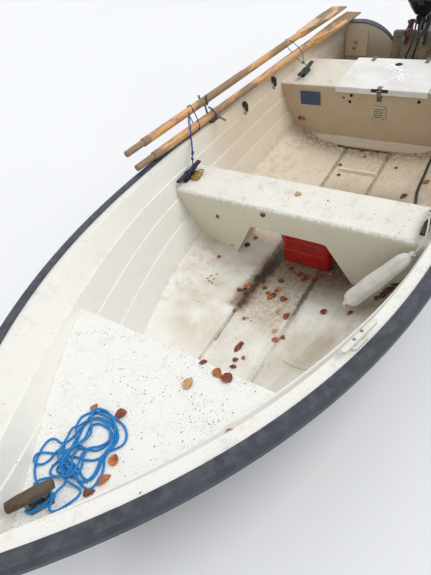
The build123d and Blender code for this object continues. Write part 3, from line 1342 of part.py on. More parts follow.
# charging lead that ends in its plug in the stern well
LEAD_DROP = (
    Vector(GUIDE_FRONT + 0.2, -15, GUIDE_Z), Vector(GUIDE_FRONT + 26, -15, GUIDE_Z), Vector(-2080, -13, 380),
    Vector(-2044, -8, 360), Vector(-2014, -4, 330), Vector(-1994, -4, 292), Vector(-1985, -14, 250),
    Vector(-1983, -30, 204), Vector(-1982, -38, 152), Vector(-1976, -44, 98), Vector(-1962, -58, 46),
    Vector(-1934, -84, 2), laid(-1896, -120, LEAD_HOSE) + Vector(0, 0, 3), laid(-1852, -150, LEAD_HOSE),
    laid(-1812, -166, LEAD_HOSE))
with BuildPart() as charge_lead:
    with BuildLine() as route:
        cord_line(LEAD_DROP)
    with BuildSketch(Plane(origin=route.line @ 0, z_dir=route.line % 0)):
        Circle(LEAD_HOSE / 2)
    sweep(path=route.line)
report_cord("charge_lead", LEAD_DROP, charge_lead.part, LEAD_HOSE)
charge_lead.part.label = "charge_lead"
export_step(charge_lead.part, "parts/charge_lead.step")

PLUG_R = 8.0
lead_way = (LEAD_DROP[-1] - LEAD_DROP[-2]).normalized()
with BuildPart() as lead_plug:
    with BuildSketch(Plane(origin=LEAD_DROP[-1] + lead_way * 0.5 + Vector(0, 0, 2), z_dir=lead_way)):
        Circle(PLUG_R)
    extrude(amount=46)
lead_plug.part.label = "lead_plug"
export_step(lead_plug.part, "parts/lead_plug.step")

# stop cord: from the motor to its clip on the starboard clamp screw
STOP_CORD = 6.0
SCREW_T = PAD_T - 50
CLIP_IN = CLAMP_IN - 48
CLIP_R = 15.0
CLIP_ROD = 3.0
clip_plane = transom_plane(-CLAMP_Y)
with BuildPart() as stop_clip:
    with BuildSketch(Plane(origin=clip_plane.from_local_coords((CLIP_IN, SCREW_T - 2.7, 0)),
            z_dir=-clip_plane.x_dir)):
        Circle(CLIP_R)
        Circle(CLIP_R - 2 * CLIP_ROD, mode=Mode.SUBTRACT)
    extrude(amount=CLIP_ROD, both=True)
stop_clip.part.label = "stop_clip"
export_step(stop_clip.part, "parts/stop_clip.step")

clip_top = clip_plane.from_local_coords((CLIP_IN, SCREW_T - 2.9 + CLIP_R, 0))
STOP_ROUTE = (
    Vector(GUIDE_FRONT + 0.2, -28, GUIDE_Z + 4), Vector(GUIDE_FRONT + 20, -28, GUIDE_Z + 4),
    Vector(-2098, -29, 385),
    Vector(-2076, -31, 369), Vector(-2050, -34, 352), Vector(-2024, -40, 336), Vector(-2004, -52, 319),
    clip_top)
with BuildPart() as stop_cord:
    with BuildLine() as route:
        cord_line(STOP_ROUTE)
    with BuildSketch(Plane(origin=route.line @ 0, z_dir=route.line % 0)):
        Circle(STOP_CORD / 2)
    sweep(path=route.line)
report_cord("stop_cord", STOP_ROUTE, stop_cord.part, STOP_CORD)
stop_cord.part.label = "stop_cord"
export_step(stop_cord.part, "parts/stop_cord.step")
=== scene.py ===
"""Looks of an open rowing boat afloat: finishes, ropes, small fittings and dirt over the CAD frame."""
import logging
import math
import random
from collections.abc import Callable, Iterable, Sequence
from dataclasses import dataclass, field
from enum import Enum

import bmesh
import bpy
import numpy as np
from mathutils import Matrix, Vector


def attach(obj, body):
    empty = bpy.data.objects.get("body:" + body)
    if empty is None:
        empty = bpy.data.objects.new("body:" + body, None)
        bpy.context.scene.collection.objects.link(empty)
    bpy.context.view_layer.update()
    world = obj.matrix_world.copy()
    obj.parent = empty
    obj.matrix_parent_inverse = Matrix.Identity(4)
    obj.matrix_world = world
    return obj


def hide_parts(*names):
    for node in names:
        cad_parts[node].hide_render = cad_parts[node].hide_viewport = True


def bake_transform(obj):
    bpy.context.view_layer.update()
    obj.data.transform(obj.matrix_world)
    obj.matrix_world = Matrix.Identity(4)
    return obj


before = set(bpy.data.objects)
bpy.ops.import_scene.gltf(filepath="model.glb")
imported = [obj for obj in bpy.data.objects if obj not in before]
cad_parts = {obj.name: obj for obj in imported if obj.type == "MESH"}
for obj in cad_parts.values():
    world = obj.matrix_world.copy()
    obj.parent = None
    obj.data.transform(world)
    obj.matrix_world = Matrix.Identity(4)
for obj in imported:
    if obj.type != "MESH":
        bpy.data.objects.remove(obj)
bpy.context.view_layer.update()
LOG = logging.getLogger("rowing_boat")
IMAGE_WIDTH = 431
IMAGE_HEIGHT = 575
Point = tuple[float, float, float]
Pairs = tuple[tuple[float, float], ...]
Colour = tuple[float, float, float]
Radius = float | Callable[[float, float], float]
Piece = bpy.types.Object


def srgb(red: int, green: int, blue: int) -> Colour:
    """Turn an 8-bit screen colour into the linear colour that shaders take.

    Args:
        red: red, 0 to 255.
        green: green, 0 to 255.
        blue: blue, 0 to 255.

    Returns:
        The linear colour.
    """
    def linear(value: int) -> float:
        """Linear value of one channel."""
        c = value / 255
        return c / 12.92 if c <= 0.04045 else ((c + 0.055) / 1.055) ** 2.4
    return linear(red), linear(green), linear(blue)


# Shader sums


def sum_method(kind: str, swapped: bool = False) -> Callable[["Shade", "Shade | float"], "Shade"]:
    """Method of a shade that adds one Math node.

    Args:
        kind: the node's operation.
        swapped: whether the other value comes first.

    Returns:
        The method.
    """
    def method(self: "Shade", other: "Shade | float" = 0.0) -> "Shade":
        """Add the node on this shade and another value."""
        return self.paint.math(kind, other, self) if swapped else self.paint.math(kind, self, other)
    return method


class Shade:
    """A socket of a material's node tree that takes part in Python sums."""

    def __init__(self, paint: "Paint", socket: bpy.types.NodeSocket) -> None:
        """Keep the socket and the paint that it belongs to."""
        self.paint = paint
        self.socket = socket

    __add__, __radd__ = sum_method("ADD"), sum_method("ADD", True)
    __sub__, __rsub__ = sum_method("SUBTRACT"), sum_method("SUBTRACT", True)
    __mul__, __rmul__ = sum_method("MULTIPLY"), sum_method("MULTIPLY", True)
    __pow__, __abs__ = sum_method("POWER"), sum_method("ABSOLUTE")
    most, least = sum_method("MAXIMUM"), sum_method("MINIMUM")

    def band(self, low: float, high: float) -> "Shade":
        """Rise smoothly from 0 at low to 1 at high; low may be the larger."""
        node = self.paint.node("ShaderNodeMapRange", {"interpolation_type": "SMOOTHSTEP", "clamp": True},
                               {"Value": self, "From Min": min(low, high), "From Max": max(low, high)})
        out = Shade(self.paint, node.outputs[0])
        return out if high > low else 1 - out


class Paint:
    """A node material that is built by calls and sums."""

    def __init__(self, name: str) -> None:
        """Start an empty principled material.

        Args:
            name: the material's name.
        """
        self.material = bpy.data.materials.new(name)
        self.material.use_nodes = True
        self.tree = self.material.node_tree
        self.shader = self.tree.nodes["Principled BSDF"]
        self._spot: dict[str, Shade] = {}

    def node(self, kind: str, settings: dict[str, object], inputs: dict[str | int, object]) -> bpy.types.Node:
        """Add a node.

        Args:
            kind: the node's type.
            settings: properties, set first.
            inputs: values or shades of its sockets, by name or number.

        Returns:
            The node.
        """
        node = self.tree.nodes.new(kind)
        for key, value in settings.items():
            setattr(node, key, value)
        self.feed(node, inputs)
        return node

    def feed(self, node: bpy.types.Node, inputs: dict[str | int, object]) -> None:
        """Give values or shades to a node's sockets, by name or number."""
        for key, value in inputs.items():
            socket = node.inputs[key]
            if isinstance(value, Shade):
                self.tree.links.new(value.socket, socket)
            else:
                socket.default_value = (*value, 1) if socket.type == "RGBA" else value

    def math(self, kind: str, a: "Shade | float", b: "Shade | float") -> Shade:
        """Add a Math node on one or two values."""
        return Shade(self, self.node("ShaderNodeMath", {"operation": kind}, {0: a, 1: b}).outputs[0])

    def spot(self, source: str = "Object") -> Shade:
        """Coordinates of the place that is shaded."""
        if source not in self._spot:
            self._spot[source] = Shade(self, self.node("ShaderNodeTexCoord", {}, {}).outputs[source])
        return self._spot[source]

    def axes(self, source: str = "Object") -> tuple[Shade, Shade, Shade]:
        """The coordinates one by one."""
        node = self.node("ShaderNodeSeparateXYZ", {}, {0: self.spot(source)})
        return Shade(self, node.outputs[0]), Shade(self, node.outputs[1]), Shade(self, node.outputs[2])

    def facing_up(self, low: float = 0.6, high: float = 0.95) -> Shade:
        """1 where the surface faces up and 0 where it stands."""
        way = self.node("ShaderNodeNewGeometry", {}, {}).outputs["Normal"]
        node = self.node("ShaderNodeSeparateXYZ", {}, {0: Shade(self, way)})
        return Shade(self, node.outputs[2]).band(low, high)

    def stretched(self, stretch: Point) -> Shade:
        """Object coordinates scaled on each axis."""
        node = self.node("ShaderNodeMapping", {}, {"Vector": self.spot(), "Scale": stretch})
        return Shade(self, node.outputs[0])

    def noise(self, scale: float, detail: float = 3, rough: float = 0.55, stretch: Point = (1, 1, 1),
              warp: float = 0.0) -> Shade:
        """Cloudy noise from about 0.3 to 0.7.

        Args:
            scale: waves per metre.
            detail: octaves.
            rough: how strong the fine octaves are.
            stretch: scale of each axis.
            warp: how far the pattern is bent.

        Returns:
            The noise value.
        """
        node = self.node("ShaderNodeTexNoise", {}, {
            "Vector": self.stretched(stretch), "Scale": scale, "Detail": detail, "Roughness": rough,
            "Distortion": warp})
        return Shade(self, node.outputs[0])

    def cells(self, scale: float) -> tuple[Shade, Shade]:
        """Distance to the nearest of scattered dots, and a random value for each dot."""
        node = self.node("ShaderNodeTexVoronoi", {}, {"Vector": self.stretched((1, 1, 1)), "Scale": scale})
        pick = self.node("ShaderNodeSeparateXYZ", {}, {0: Shade(self, node.outputs["Color"])})
        return Shade(self, node.outputs["Distance"]), Shade(self, pick.outputs[0])

    def dots(self, scale: float, share: "Shade | float", size: float = 0.3) -> Shade:
        """Scattered specks: 1 inside them.

        Args:
            scale: dots per metre.
            share: which share of the places holds a dot.
            size: radius as a share of the spacing.

        Returns:
            The mask.
        """
        distance, pick = self.cells(scale)
        reach = pick * size + size * 0.3
        inside = self.math("LESS_THAN", distance, reach)
        chosen = self.math("LESS_THAN", self.math("FRACT", pick * 7.3, 0.0), share)
        return inside * chosen

    def track(self, start: tuple[float, float], end: tuple[float, float], wide: float, soft: float,
              wander: float = 0.0) -> Shade:
        """Mark along a straight line seen from above.

        Args:
            start: first point, x and y.
            end: last point.
            wide: half width of the full mark.
            soft: width of its soft edge.
            wander: how far its edge strays.

        Returns:
            The mask.
        """
        x, y, _ = self.axes()
        way = Vector((end[0] - start[0], end[1] - start[1]))
        long = way.length
        way.normalize()
        along = ((x - start[0]) * way.x + (y - start[1]) * way.y).most(0.0).least(long)
        off_x = x - (along * way.x + start[0])
        off_y = y - (along * way.y + start[1])
        away = (off_x * off_x + off_y * off_y) ** 0.5
        if wander:
            away = away + (self.noise(26, 3) - 0.5) * wander
        return away.band(wide + soft, wide)

    def mix(self, share: "Shade | float", a: "Shade | Colour", b: "Shade | Colour") -> Shade:
        """Blend two colours."""
        node = self.node("ShaderNodeMix", {"data_type": "RGBA"}, {0: share, 6: a, 7: b})
        return Shade(self, node.outputs[2])

    def shader_set(self, values: dict[str, object]) -> None:
        """Give values or shades to the shader's own sockets."""
        self.feed(self.shader, values)

    def bump(self, height: Shade, strength: float, distance: float = 0.001) -> None:
        """Roughen the surface by a height pattern."""
        node = self.node("ShaderNodeBump", {}, {"Height": height, "Strength": strength, "Distance": distance})
        self.shader_set({"Normal": Shade(self, node.outputs[0])})


# Finishes

WHITE = srgb(233, 231, 224)
CREAM = srgb(216, 202, 178)
GRIME = srgb(140, 118, 88)
MILDEW = srgb(38, 36, 32)
GROOVE_Y = 0.145


@dataclass(frozen=True)
class Skin:
    """A material whose patterns are laid by each kind of skin."""

    name: str

    def build(self) -> bpy.types.Material:
        """Make the material."""
        paint = Paint(self.name)
        self.lay(paint)
        return paint.material


@dataclass(frozen=True)
class Gelcoat(Skin):
    """Aged white gelcoat with mildew specks, brown dirt that gathers low and aft, and painted shade."""

    base: Colour = WHITE
    aged: Colour = CREAM
    cream_from: float = 0.15
    cream_to: float = -0.75
    specks: float = 0.12
    dirt: float = 0.5
    # colour of the standing faces: partly a tint of the gelcoat and partly painted shade
    front: Colour | None = None
    floor_marks: bool = False
    edge_line: tuple[float, float] | None = None

    def lay(self, p: Paint) -> None:
        """Lay its colours and its relief."""
        x, y, z = p.axes()
        up = p.facing_up(0.3, 0.9)
        clouds = p.noise(5.0, 4, 0.6)
        cream = (x.band(self.cream_from, self.cream_to) * 0.8 + (clouds - 0.5) * 0.7).band(0.0, 1.0)
        colour = p.mix(cream, self.base, self.aged)
        # standing faces take the front colour, partly tint and partly painted shade
        if self.front:
            colour = p.mix(up.band(0.75, 0.3) * (0.85 + (clouds - 0.5) * 0.5), colour, self.front)
        stain = (p.noise(17, 5, 0.65).band(0.5, 0.75) * (0.25 + 0.75 * up)) * self.dirt
        colour = p.mix(stain * 0.5, colour, GRIME)
        if self.floor_marks:
            colour = self._floor(p, colour, x, y, z, up)
        fine = p.dots(230, 0.30 + 0.5 * up, 0.26) * p.noise(9, 3).band(0.35, 0.6) * (0.3 + 0.7 * up)
        colour = p.mix(fine * (0.35 + self.specks), colour, GRIME)
        black = p.dots(95, (p.noise(6, 2).band(0.42, 0.62) * self.specks), 0.2) * (0.25 + 0.75 * up)
        colour = p.mix(black * 0.85, colour, MILDEW)
        if self.edge_line:
            at_x, at_z = self.edge_line
            line = abs(x - at_x).band(0.020, 0.002) * abs(z - at_z).band(0.020, 0.002)
            colour = p.mix(line * p.noise(55, 5, 0.75).band(0.38, 0.68) * 0.55, colour, srgb(112, 104, 84))
        p.shader_set({"Base Color": colour, "Roughness": 0.30 + clouds * 0.32, "Coat Weight": 0.12})
        p.bump(p.noise(60, 4, 0.6), 0.25, 0.0006)

    def _floor(self, p: Paint, colour: Shade, x: Shade, y: Shade, z: Shade, up: Shade) -> Shade:
        """Lay the dirt and the painted shade of the well's floor over the colour."""
        rough, fine = p.noise(45, 5, 0.7), p.noise(120, 4, 0.75)
        low, well = z.band(0.06, -0.02), x.band(0.95, 0.45)
        crevice = z.band(0.10, 0.02) * abs(y).band(0.30, 0.46) * p.noise(22, 5, 0.75).band(0.45, 0.65)
        warm = low * well * x.band(-0.5, -0.2) * p.noise(4, 3).band(0.3, 0.7)
        # brown dirt and painted shade on the floor under the thwart and round the tank
        thwart_dirt_and_shade = x.band(0.32, 0.0) * x.band(-0.9, -0.45) * y.band(-0.20, -0.05) * y.band(0.46, 0.32)
        thwart_dirt_and_shade = thwart_dirt_and_shade * z.band(0.2, 0.0) * (0.55 + rough * 0.75)
        # painted shade: brown-grey on the port wall by the thwart's port end
        port_wall_shade = x.band(0.40, 0.10) * x.band(-0.1, 0.0) * y.band(0.30, 0.46) * z.band(0.36, 0.16)
        between = y.band(-0.19, -0.1) * y.band(0.2, 0.12) * x.band(0.56, 0.28) * x.band(-0.62, -0.25) * low
        silt = between * (rough.band(0.40, 0.62) * 0.7 + 0.2)
        flakes = between * p.noise(170, 3, 0.8).band(0.58, 0.64)
        groove = (abs(abs(y) - GROOVE_Y) + (rough - 0.5) * 0.022).band(0.020, 0.004) * x.band(0.80, 0.35)
        lines = groove * low * (0.35 + 0.65 * fine.band(0.42, 0.56)) * x.band(0.8, 0.0)
        back = low * x.band(-0.35, -0.95) * (0.12 + 0.88 * y.band(-0.38, 0.08))
        back = back * (fine.band(0.46, 0.62) * 0.55 + rough.band(0.48, 0.7) * 0.4)
        foot = x.band(-1.02, -1.15) * z.band(0.08, -0.03) * rough.band(0.34, 0.6)
        halo = p.track((-0.12, -0.10), (0.34, -0.15), 0.022, 0.055, 0.08) * (0.3 + rough) * low
        mud = p.track((-0.12, -0.10), (0.16, -0.128), 0.014, 0.030, 0.06)
        for start, end, wide, soft, wander, share in (
                ((0.16, -0.128), (0.35, -0.142), 0.006, 0.022, 0.05, 1.0),
                ((0.35, -0.142), (0.60, -0.138), 0.001, 0.007, 0.015, 0.7),
                ((0.05, 0.147), (0.30, 0.142), 0.003, 0.018, 0.05, 0.6)):
            mud = mud.most(p.track(start, end, wide, soft, wander) * share)
        joint = p.track((-1.16, -0.2), (-1.165, 0.12), 0.004, 0.02, 0.03) * z.band(0.05, 0.0)
        crack = p.track((0.582, 0.228), (0.62, 0.343), 0.0012, 0.0015).most(
            p.track((0.62, 0.343), (0.615, 0.387), 0.0012, 0.0015)) * up
        # painted shade: darker brown low on the transom's inner face
        stern = x.band(-1.75, -2.0) * z.band(0.42, 0.16) * (0.6 + rough * 0.5)
        marks = (
            (crevice * well * 0.35, srgb(150, 136, 112)), (warm * 0.85, srgb(186, 170, 142)),
            (thwart_dirt_and_shade.least(0.94), srgb(92, 70, 48)),
            ((port_wall_shade * (0.5 + rough * 0.8)).least(0.75), srgb(140, 124, 100)),
            (silt * 0.75, srgb(142, 126, 102)), (flakes * 0.85, srgb(240, 238, 233)),
            (lines * 0.75, srgb(96, 76, 52)), (back * 0.62, srgb(138, 112, 80)),
            (foot * 0.75, srgb(112, 88, 60)), (halo.least(0.85), srgb(112, 84, 48)),
            ((mud * low * (0.25 + fine * 1.3)).most(joint * 0.9).least(0.95), srgb(40, 32, 25)),
            (crack * 0.7, srgb(120, 108, 92)), (stern.least(0.8), srgb(112, 100, 80)),
            # painted shade: greyer towards the transom
            (x.band(-1.6, -1.95) * 0.45, srgb(160, 152, 138)))
        for share, tone in marks:
            colour = p.mix(share, colour, tone)
        return colour


@dataclass(frozen=True)
class LidWhite(Skin):
    """Brighter white of the locker lid with worn residue round its hole."""

    name: str = "lid_gelcoat"

    def lay(self, p: Paint) -> None:
        """Lay its colours and its relief."""
        clouds = p.noise(6, 4, 0.6)
        colour = p.mix(clouds.band(0.3, 0.75), srgb(232, 232, 230), srgb(214, 211, 203))
        patch = p.track((-1.5, 0.02), (-1.36, 0.1), 0.018, 0.05, 0.03) * p.noise(38, 4, 0.65).band(0.47, 0.53)
        colour = p.mix(patch * 0.9, colour, srgb(252, 252, 252))
        tint = patch * p.noise(60, 2).band(0.56, 0.6)
        colour = p.mix(tint * 0.8, colour, srgb(96, 142, 176))
        colour = p.mix(p.dots(120, p.noise(8, 2).band(0.45, 0.65) * 0.25, 0.2) * 0.6, colour, GRIME)
        p.shader_set({"Base Color": colour, "Roughness": 0.3 + clouds * 0.3, "Coat Weight": 0.15})
        p.bump(p.noise(60, 3), 0.15, 0.0005)


@dataclass(frozen=True)
class Moulded(Skin):
    """Moulded plastic, rubber or painted casting with wear, dust and painted sheen on top, and a fine surface.
    """

    base: Colour
    worn: Colour
    rough: float = 0.5
    wear: float = 0.5
    grain: float = 90.0
    bump: float = 0.2
    coat: float = 0.0
    metallic: float = 0.0
    dust_and_sheen: Colour | None = None

    def lay(self, p: Paint) -> None:
        """Lay its colours and its relief."""
        clouds = p.noise(14, 4, 0.6)
        scuffs = p.noise(70, 5, 0.7).band(0.55, 0.72)
        colour = p.mix((clouds.band(0.4, 0.7) * self.wear), self.base, self.worn)
        colour = p.mix(scuffs * self.wear * 0.5, colour, self.worn)
        # lighter up faces: dust, and on the rail also a painted sheen
        if self.dust_and_sheen:
            colour = p.mix(p.facing_up() * p.noise(30, 4).band(0.4, 0.65) * 0.5, colour, self.dust_and_sheen)
        p.shader_set({"Base Color": colour, "Roughness": self.rough - 0.12 + clouds * 0.25,
                      "Coat Weight": self.coat, "Metallic": self.metallic})
        p.bump(p.noise(self.grain * 8, 3, 0.6), self.bump, 0.0004)


@dataclass(frozen=True)
class BareMetal(Skin):
    """Galvanised, cast or worn metal with dull blotches and a little rust."""

    base: Colour
    dull: Colour
    rough: float = 0.4
    rust: float = 0.1

    def lay(self, p: Paint) -> None:
        """Lay its colours and its relief."""
        spangle, _ = p.cells(150)
        clouds = p.noise(60, 4, 0.6)
        colour = p.mix(clouds.band(0.35, 0.68), self.base, self.dull)
        rust = p.noise(110, 4, 0.7).band(0.6, 0.72) * self.rust
        colour = p.mix(rust, colour, srgb(112, 62, 30))
        p.shader_set({"Base Color": colour, "Roughness": self.rough + clouds * 0.25 - 0.1,
                      "Metallic": 0.92 - rust * 0.9})
        p.bump(spangle, 0.1, 0.0003)


@dataclass(frozen=True)
class Timber(Skin):
    """Wood with grain along X, varnished where it is sound and grey where it has weathered."""

    sound: Colour
    dark: Colour
    grey: Colour
    weather: float = 0.5
    coat: float = 0.35
    oar: bool = False
    stained_below: float | None = None

    def lay(self, p: Paint) -> None:
        """Lay its colours and its relief."""
        grain = p.noise(20, 6, 0.65, (0.35, 7, 7), warp=0.4)
        fibre = p.noise(40, 4, 0.7, (0.5, 16, 16))
        colour = p.mix(grain.band(0.35, 0.65), self.sound, self.dark)
        patches = p.noise(5.5, 5, 0.65, (0.7, 2.2, 2.2)) + (self.weather - 0.5)
        if self.oar:
            x, _, _ = p.axes()
            patches = patches + x.band(-0.12, 0.12) * 0.25 + x.band(-1.75, -2.2) * 0.12
            patches = patches + x.band(-0.35, -0.5) * x.band(-0.98, -0.8) * 0.1
        grey = patches.band(0.47, 0.6)
        colour = p.mix(grey * 0.85, colour, p.mix(fibre.band(0.35, 0.65), self.grey, srgb(104, 90, 76)))
        cracks = fibre.band(0.62, 0.72) * grey
        colour = p.mix(cracks * 0.7, colour, srgb(58, 48, 40))
        if self.stained_below is not None:
            painted = p.axes()[2].band(self.stained_below + 0.004, self.stained_below)
            stains = p.mix(p.noise(14, 5, 0.7).band(0.35, 0.65), srgb(150, 140, 122), srgb(98, 82, 58))
            colour = p.mix(painted, colour, stains)
        p.shader_set({"Base Color": colour, "Roughness": 0.38 + grey * 0.42,
                      "Coat Weight": (1 - grey) * self.coat})
        p.bump(fibre, 0.35, 0.0006)


@dataclass(frozen=True)
class Braid(Skin):
    """Rope or cord: laid yarns that follow the line, painted shade between them and painted highlights."""

    base: Colour
    # colour of the painted shade between the yarns
    dark: Colour
    # colour of the painted highlights
    painted_highlight: Colour
    yarns: float = 1.0
    rough: float = 0.72

    def lay(self, p: Paint) -> None:
        """Lay its colours and its relief."""
        u, v, _ = p.axes("UV")
        weave = p.math("SINE", (u + v * self.yarns) * (2 * math.pi), 0.0)
        cross = p.math("SINE", (u - v * self.yarns) * (2 * math.pi), 0.0)
        yarn = (weave * cross + 1) * 0.5
        clouds = p.noise(40, 4, 0.6)
        # painted shade: the dark colour lies between the yarns
        colour = p.mix(yarn.band(0.05, 0.6), self.dark, self.base)
        # painted highlight: patches of a lighter colour
        colour = p.mix(clouds.band(0.5, 0.75) * 0.5, colour, self.painted_highlight)
        p.shader_set({"Base Color": colour, "Roughness": self.rough, "Sheen Weight": 0.15})
        p.bump(yarn, 0.5, 0.0006)


@dataclass(frozen=True)
class LeafSkin(Skin):
    """Dead leaf with veins and blotches."""

    base: Colour
    dark: Colour
    rough: float = 0.6

    def lay(self, p: Paint) -> None:
        """Lay its colours and its relief."""
        clouds = p.noise(55, 5, 0.7)
        colour = p.mix(clouds.band(0.38, 0.62), self.base, self.dark)
        colour = p.mix(p.noise(210, 3).band(0.58, 0.66) * 0.7, colour, srgb(70, 38, 20))
        p.shader_set({"Base Color": colour, "Roughness": self.rough})
        p.bump(p.noise(240, 3), 0.5, 0.0005)


class Finish(Enum):
    """The finishes of the boat, by the record's material slot."""

    # each skin's numbers follow its fields: rough, wear, grain, bump and coat of a moulded one, and so on
    HULL = ("hull_navy", Moulded("hull_paint", srgb(19, 24, 36), srgb(52, 58, 68), 0.32, 0.25, 60, 0.08,
                                 0.3))
    LINER = ("liner_white", Gelcoat("liner_gelcoat", floor_marks=True))
    BOW = ("liner_white", Gelcoat("bow_seat_gelcoat", srgb(236, 235, 230), srgb(214, 206, 190), 0.9, -1.5,
                                  0.8, 0.35))
    THWART = ("liner_white", Gelcoat("thwart_gelcoat", srgb(234, 232, 225), srgb(222, 217, 203), 1.5, -1.5,
                                     0.35, 0.6, front=srgb(208, 202, 182), edge_line=(0.050, 0.318)))
    LOCKER = ("liner_white", Gelcoat("locker_gelcoat", srgb(230, 227, 217), srgb(218, 211, 196), 0.0, -1.3,
                                     0.25, 0.5, front=srgb(182, 160, 128)))
    BAR = ("liner_white", Gelcoat("floor_bar_gelcoat", srgb(232, 226, 212), srgb(220, 208, 184), 0.0, -1.3,
                                  0.2, 0.6))
    LID = ("lid_white", LidWhite())
    # the rail's lighter top colour is dust and painted sheen
    RAIL = ("rail_black", Moulded("rail_rubber", srgb(44, 48, 58), srgb(74, 79, 89), 0.5, 0.45, 50, 0.2,
                                  dust_and_sheen=srgb(84, 87, 92)))
    BLACK = ("fitting_black", Moulded("black_nylon", srgb(22, 23, 25), srgb(62, 62, 62), 0.48, 0.4))
    WHITE_FIT = ("fitting_white", Moulded("white_nylon", srgb(228, 226, 218), srgb(176, 168, 150), 0.42,
                                          0.4))
    VENT = ("fitting_white", Moulded("vent_plastic", srgb(196, 184, 160), srgb(138, 124, 100), 0.5, 0.5))
    # near-black painted shade for the insides of holes
    HOLE = ("fitting_black", Moulded("hole_shade", srgb(8, 8, 8), srgb(18, 17, 16), 0.8, 0.3))
    STEEL = ("steel", BareMetal("galvanised", srgb(150, 148, 143), srgb(104, 100, 94), 0.42, 0.35))
    BRASS = ("brass", BareMetal("laminated_brass", srgb(196, 172, 96), srgb(128, 108, 58), 0.36, 0.2))
    PLATE = ("plate_blue", Moulded("blank_plate", srgb(44, 66, 108), srgb(70, 88, 120), 0.35, 0.35, 60,
                                   0.05, 0.2))
    OAR = ("oar_wood", Timber("oar_timber", srgb(224, 174, 112), srgb(190, 134, 78), srgb(152, 132, 108),
                              oar=True))
    GREY_WOOD = ("grey_wood", Timber("grey_timber", srgb(94, 72, 50), srgb(54, 42, 32), srgb(86, 76, 64),
                                     0.6, 0.0))
    PAD = ("grey_wood", Timber("pad_timber", srgb(116, 84, 66), srgb(82, 58, 46), srgb(140, 136, 130), 0.6,
                               0.0, stained_below=0.262))
    COWL = ("cowl_black", Moulded("cowl_plastic", srgb(20, 21, 23), srgb(46, 47, 50), 0.34, 0.35, 40, 0.1,
                                  0.25, dust_and_sheen=srgb(64, 62, 58)))
    MOTOR = ("motor_black", Moulded("motor_paint", srgb(24, 25, 27), srgb(66, 66, 68), 0.42, 0.45, 60,
                                    0.15, 0.1))
    ENGINE = ("engine_block", BareMetal("engine_casting", srgb(110, 110, 112), srgb(80, 78, 76), 0.5, 0.1))
    PROP = ("prop_metal", BareMetal("propeller_metal", srgb(150, 152, 155), srgb(96, 98, 102), 0.4, 0.05))
    TANK = ("tank_red", Moulded("tank_plastic", srgb(166, 18, 8), srgb(118, 10, 6), 0.3, 0.5, 30, 0.1, 0.4))
    FENDER = ("fender_white", Moulded("fender_vinyl", srgb(226, 224, 219), srgb(188, 182, 168), 0.38, 0.5,
                                      30, 0.25, 0.15))
    ROPE_BLUE = ("rope_blue", Braid("painter_rope", srgb(0, 142, 214), srgb(0, 80, 146),
                                    srgb(24, 180, 238), 2))
    ROPE_NAVY = ("rope_navy", Braid("navy_cord", srgb(32, 48, 132), srgb(12, 18, 60), srgb(66, 82, 150), 3))
    ROPE_GREEN = ("rope_green", Braid("green_cord", srgb(22, 112, 88), srgb(8, 54, 44), srgb(60, 140, 116),
                                      3))
    ROPE_WHITE = ("rope_white", Braid("white_line", srgb(224, 222, 212), srgb(150, 144, 130),
                                      srgb(236, 234, 226), 3))
    HOSE = ("hose_black", Moulded("hose_rubber", srgb(30, 31, 33), srgb(78, 78, 78), 0.55, 0.4, 50, 0.1))
    RED = ("cord_red", Moulded("red_cord", srgb(172, 26, 24), srgb(110, 18, 16), 0.45, 0.4))
    LEAF_ORANGE = ("oar_wood", LeafSkin("orange_leaf", srgb(188, 112, 60), srgb(150, 80, 38)))
    LEAF_BROWN = ("oar_wood", LeafSkin("brown_leaf", srgb(146, 72, 38), srgb(98, 48, 28)))
    LEAF_TAN = ("oar_wood", LeafSkin("tan_leaf", srgb(206, 168, 120), srgb(176, 132, 88)))
    LEAF_DARK = ("oar_wood", LeafSkin("wet_leaf", srgb(96, 52, 26), srgb(44, 28, 18), 0.35))

    @property
    def slot(self) -> str:
        """The record's material slot."""
        return self.value[0]

    def material(self) -> bpy.types.Material:
        """The material, made once."""
        maker = self.value[1]
        return bpy.data.materials.get(maker.name) or maker.build()


FINISH_NODES: dict[Finish, str] = {
    Finish.HULL: "hull",
    Finish.LINER: "liner_floor liner_sides liner_sides_mid",
    Finish.RAIL: "rub_rail transom_edging",
    Finish.BOW: "bow_seat",
    Finish.BAR: "floor_bar",
    Finish.THWART: "mid_thwart",
    Finish.LOCKER: "stern_seat transom_plates",
    Finish.LID: "locker_lid",
    Finish.STEEL: "lid_hinges lid_hinge_leaves lid_hasp hasp_staple stern_eyes clamp_screws "
                  "rowlocks bow_cleat_post",
    Finish.VENT: "vent_grille",
    Finish.PLATE: "data_plate",
    Finish.PAD: "motor_pad",
    Finish.MOTOR: "motor_clamp swivel_bracket motor_leg gearcase hose_guide",
    Finish.PROP: "propeller",
    Finish.COWL: "cowl_tray cowl carry_handle",
    Finish.ENGINE: "powerhead",
    Finish.BLACK: "tiller rowlock_sockets horn_cleats tank_fittings lead_plug",
    Finish.OAR: "oar_looms oar_blades",
    Finish.WHITE_FIT: "gunwale_cleat",
    Finish.GREY_WOOD: "bow_cleat_bar",
    Finish.FENDER: "fender",
    Finish.TANK: "fuel_tank",
    Finish.BRASS: "padlock",
    Finish.RED: "stop_clip",
}
NODE_FINISH = {node: finish for finish, nodes in FINISH_NODES.items() for node in nodes.split()}


# Modelling helpers


def deselect() -> None:
    """Leave nothing selected."""
    bpy.ops.object.select_all(action="DESELECT")


def pick(*pieces: Piece) -> None:
    """Select some objects alone and make the first one active."""
    deselect()
    for piece in pieces:
        piece.select_set(True)
    bpy.context.view_layer.objects.active = pieces[0]


